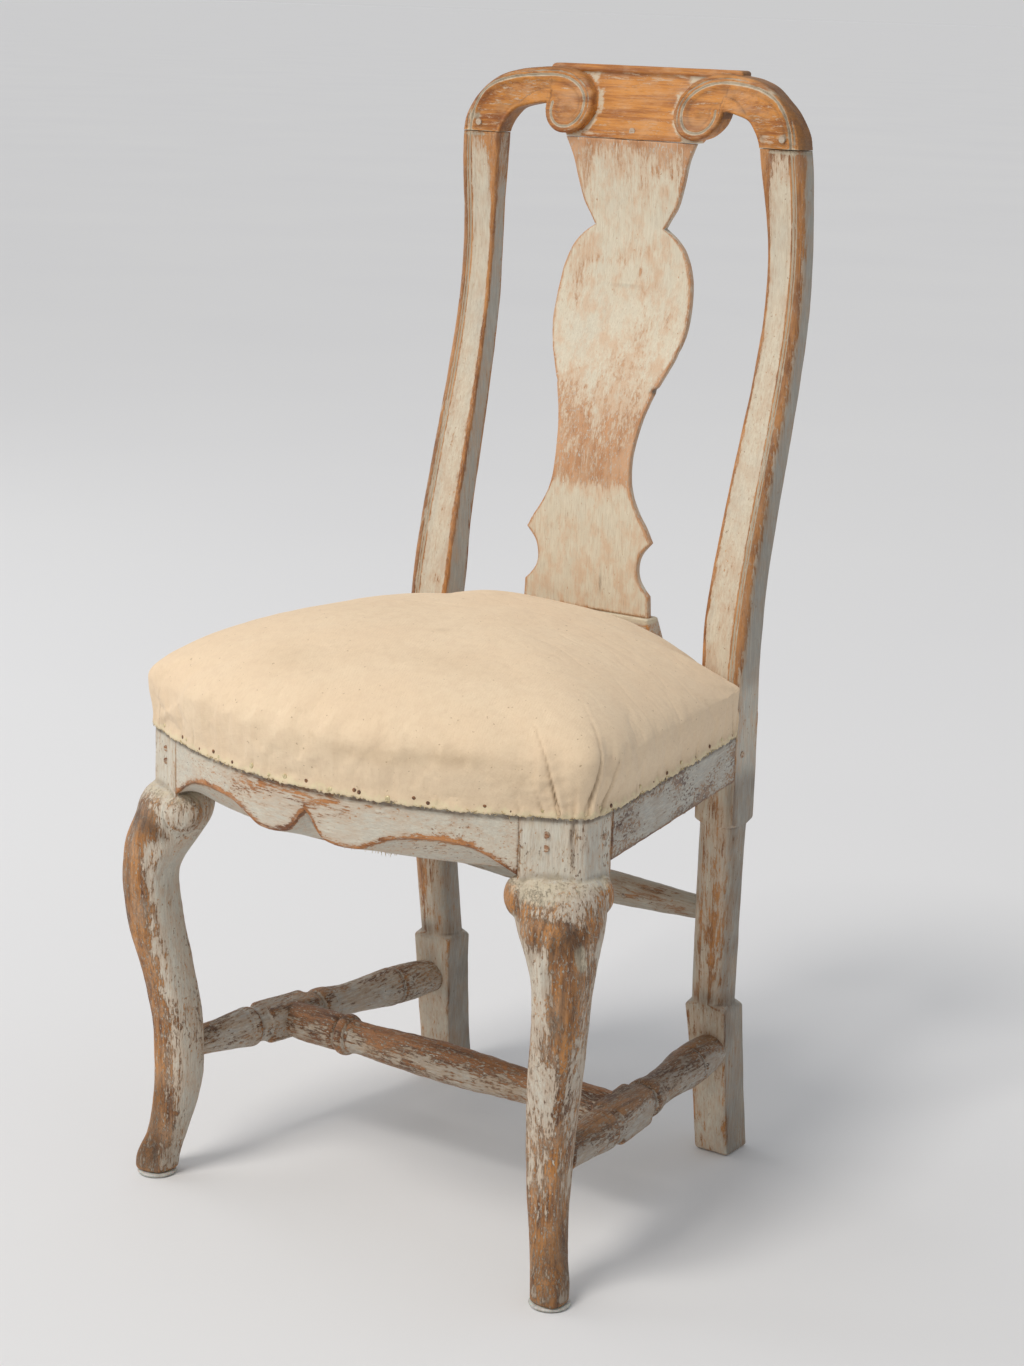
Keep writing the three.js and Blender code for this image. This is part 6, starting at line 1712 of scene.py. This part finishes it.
def cloth_map(mesh, co):
    """Threads run straight across the seat and down its sides."""
    out = co[:, :2] - MIDDLE
    out /= np.maximum(np.linalg.norm(out, axis=1), 1e-6)[:, None]
    flat = (co[:, :2] + out * np.clip(SHOULDER - 20 - co[:, 2], 0, None)[:, None]) * MM
    which = np.empty(len(mesh.loops), int)
    mesh.loops.foreach_get("vertex_index", which)
    mesh.uv_layers.new(name="cloth").data.foreach_set("uv", flat[which].ravel())


def cushion_finish(mesh):
    """The raw edge, soiled places, painted shade low on the sides and painted shade in the folds of the muslin, and
    its thread map.
    """
    co = of_vertices(mesh)
    x, y, z = co.T
    # Painted shade in the hollows of the pleats, near each fold
    picked = np.flatnonzero(pleat_shade.ravel() > 0.15)
    tree = finder(rings.reshape(-1, 3)[picked])
    dark = np.zeros(len(co))
    for i in np.flatnonzero(z < 520):
        _, found, far = tree.find(co[i])
        dark[i] = pleat_shade.ravel()[picked[found]] * math.exp(-(far / 1.6) ** 2)
    on_rail = y < POST_FRONT - 3
    flutter = rippled(x / 9, y / 9, 2.0)
    raw = on_rail * (1 - ease(448.5, 452.5, z - 6.0 * flutter))
    # Low on the sides of the seat the cloth gets painted shade, in the soil colour.
    beside = on_rail * ease(235, 240, np.abs(x) + 0.16 * np.clip(y - 40, 0, None))
    soiling_and_shade = in_spots(co, [
        (60, -40, 486, 60, 20, 7, 0.8), (140, -25, 492, 34, 20, 7, 0.8), (-30, -45, 480, 30, 20, 5, 0.4),
        (190, 0, 478, 30, 20, 9, 0.5), (-60, 20, 535, 40, 30, 14, 0.35), (60, 60, 545, 60, 24, 12, 0.3),
        (232, 40, 480, 16, 24, 24, 0.45), (10, -45, 494, 5, 20, 2, 0.9), (-120, -20, 480, 20, 20, 12, 0.35),
        (20, 120, 560, 8, 6, 30, 0.4), (215, 100, 500, 20, 40, 10, 0.3), (-40, 150, 560, 90, 60, 20, 0.15),
    ])
    soiling_and_shade += 0.35 * on_rail * (1 - ease(450, 470, z))
    soiling_and_shade += beside * np.clip(0.7 + 1.2 * flutter, 0, 1) * (1 - ease(449, 455, z))
    write_colour(mesh, "finish", (raw, soiling_and_shade, dark))
    cloth_map(mesh, co)


seat = piece(cushion(), "muslin_seat", muslin_cloth, ["muslin_cover", "stuffing_pad"], cushion_finish)


def tack_heads(large):
    """Domed tack heads along the raw edge; every third small one is brass too."""
    bm = bmesh.new()
    for k, (x, y, big) in enumerate(TACKS):
        if (big or k % 3 == 1) != large:
            continue
        i = np.argmin(np.hypot(SEAT[:, 0] - x, SEAT[:, 1] - y))
        head = bmesh.new()
        bmesh.ops.create_uvsphere(head, u_segments=14, v_segments=8, radius=2.7 if big else 1.9)
        bmesh.ops.scale(head, vec=(1, 1, 0.42), verts=head.verts)
        at = Vector((*(SEAT[i, :2] + OUTWARD[i] * (GAP + MUSLIN + 0.55)), MUSLIN_EDGE + 4.6 + 2.0 * math.sin(k * 2.3)))
        add_in(bm, set_at(head, at, pointing(Vector((*OUTWARD[i], 0.15 * math.sin(k))))))
    return bm


piece(tack_heads(False), "small_tacks", rusty_iron)
piece(tack_heads(True), "large_tacks", pale_brass)


def fray_mesh():
    """Loose yarn ends along the raw edge and under the carved rail: thin tapered stubs."""
    bm = bmesh.new()

    def yarn(at, way, length, radius):
        stub = bmesh.new()
        bmesh.ops.create_cone(
            stub, segments=5, radius1=radius, radius2=radius * 0.35, depth=length, cap_ends=True,
        )
        bmesh.ops.translate(stub, vec=(0, 0, length / 2), verts=stub.verts)
        add_in(bm, set_at(stub, at, pointing(Vector(way))))

    for k, ((x, y, _, level), (out_x, out_y)) in enumerate(zip(SEAT, OUTWARD)):
        if level > 0.5:
            continue
        n1, n2 = noise.noise(Vector((k * 0.37, 1, 2))), noise.noise(Vector((k * 0.53, 5, 9)))
        out, aside = GAP + MUSLIN + 0.8 + n1, 1.6 * math.sin(k * 1.7)
        at = Vector((x + out_x * out, y + out_y * out, MUSLIN_EDGE + 0.5 + 3.0 * n2))
        way = (out_x * (0.4 + n2) - out_y * aside, out_y * (0.4 + n2) + out_x * aside, -0.5 + 1.2 * n1)
        yarn(at, way, 1.4 + 4.6 * abs(n2), 0.34)
    for k in range(70):
        n1, n2, n3 = (noise.noise(Vector((k * 0.91, j, 3.3))) for j in (1.0, 2.0, 3.0))
        x = 8 + k * 0.95 + 5 * n1
        at = Vector((x, rail_face(x) + FRONT_RAIL_THICKNESS + 1.5 + 1.5 * n2, BLOCK_BOTTOM + 2))
        yarn(at, (n1 * 1.4, n3 * 1.2, -1.0), 4 + 5 * abs(n2), 0.4)
    return bm


piece(fray_mesh(), "frayed_edges", fray_fibre)


# Under the seat

def cloth_outline():
    """The opening inside the rails, which the dust cloth is stretched over."""
    half = [(x, rail_face(x) + FRONT_RAIL_THICKNESS + 0.8) for x in np.linspace(0, JOINT_HALF - 6, 24)]
    half += [(JOINT_HALF - 6, BLOCK_BACK + 0.8), (side_line(BLOCK_BACK) - 6, BLOCK_BACK + 0.8)]
    half += [(side_line(y) - 6, y) for y in np.linspace(BLOCK_BACK + 8, POST_FRONT - 1, 24)]
    inner = BACK_HALF - POST_WIDTH - 1
    half += [(inner, POST_FRONT - 1), (inner, 390)] + [(inner * t, 391) for t in np.linspace(0.9, 0, 14)]
    return spaced(np.array(half + [(-x, y) for x, y in half[1:-1]][::-1], float), 6)


def dust_cloth(outline):
    """The cloth tacked under the rails, sagging a little between them."""
    middle = np.array((0, 210.0))
    rows = []
    for share in np.linspace(0, 1, 34):
        points = middle + (outline - middle) * share
        wave = 0.7 * rippled(points[:, 0] / 40, points[:, 1] / 40, 2.0) * (1 - share ** 6)
        rows.append(np.column_stack([points, RAIL_BOTTOM - GAP - 1.0 - 3.0 * (1 - share ** 2) + wave]))
    return skin(rows, capped=False)


outline = cloth_outline()
x, y = outline.T
bottom = piece(dust_cloth(outline), "dust_cloth", under_cloth, ["bottom_cloth"])
thickness = bottom.modifiers.new("cloth_thickness", "SOLIDIFY")
thickness.thickness = 0.0007
thickness.offset = 0


# CAD pieces that stay, with their own finishes

def kept_finish(name):
    if "peg" in name:
        return rail_peg_finish if "rail" in name else peg_finish
    if "strap" in name:
        return jute_webbing
    return hessian_cloth if name == "hessian_sheet" else None


for name, obj in {o.get("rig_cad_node"): o for o in bpy.data.objects if o.get("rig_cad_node")}.items():
    finish = kept_finish(name)
    if finish:
        obj.data.materials.clear()
        obj.data.materials.append(finish)


# Floor, light and camera

bm = bmesh.new()
bmesh.ops.create_grid(bm, x_segments=8, y_segments=8, size=400)
floor = in_scene("floor", mesh_of(bm, "floor"))
floor.data.materials.append(floor_material())


def lamp(name, kind, place, target, energy, size, colour):
    data = bpy.data.lights.new(name, kind)
    data.energy = energy
    data.color = colour
    setattr(data, "size" if kind == "AREA" else "angle", size)
    obj = in_scene(name, data)
    obj.location = place
    obj.rotation_euler = (Vector(target) - Vector(place)).to_track_quat("-Z", "Y").to_euler()


lamp("key", "SUN", (-0.5, -2.9, 4.7), (0, 0, 0.2), 1.3, math.radians(18), (1.0, 0.965, 0.92))
lamp("front_softbox", "AREA", (-1.0, -3.2, 2.8), (0, 0, 0.5), 22, 1.8, (1.0, 0.97, 0.93))
lamp("left_softbox", "AREA", (-3.6, -0.6, 2.5), (0, 0, 0.3), 41, 3.4, (0.98, 0.985, 1.0))
world = bpy.data.worlds.new("studio")
world.use_nodes = True
tree = world.node_tree
sky = tree.nodes["Background"]
sky.inputs["Color"].default_value = (0.93, 0.96, 1.0, 1)
sky.inputs["Strength"].default_value = 0.5
seen = node("ShaderNodeBackground", {"Color": (0.603, 0.603, 0.607, 1), "Strength": 1.0}, tree=tree)
straight = node("ShaderNodeLightPath", {}, tree=tree, out="Is Camera Ray")
backdrop = node("ShaderNodeMixShader", {0: straight, 1: Wave(sky.outputs[0]), 2: seen})
feed(tree.nodes["World Output"].inputs["Surface"], backdrop)
bpy.context.scene.world = world

YAW, PITCH, ROLL = math.radians(34.265), math.radians(13.714), math.radians(1.814)
ahead = Vector((-math.sin(YAW) * math.cos(PITCH), math.cos(YAW) * math.cos(PITCH), -math.sin(PITCH)))
level = Vector((math.cos(YAW), math.sin(YAW), 0))
up = level.cross(ahead)
right = math.cos(ROLL) * level + math.sin(ROLL) * up
up = -math.sin(ROLL) * level + math.cos(ROLL) * up
camera = in_scene("camera", bpy.data.cameras.new("camera"))
camera.data.sensor_width = 36
camera.data.lens = 73.363
turn = Matrix((right, up, -ahead)).transposed().to_4x4()
camera.matrix_world = Matrix.Translation((1.4573, (-1874.2 + Y_SHIFT) * MM, 1.1122)) @ turn
bpy.context.scene.camera = camera
bpy.context.scene.view_settings.view_transform = "Standard"
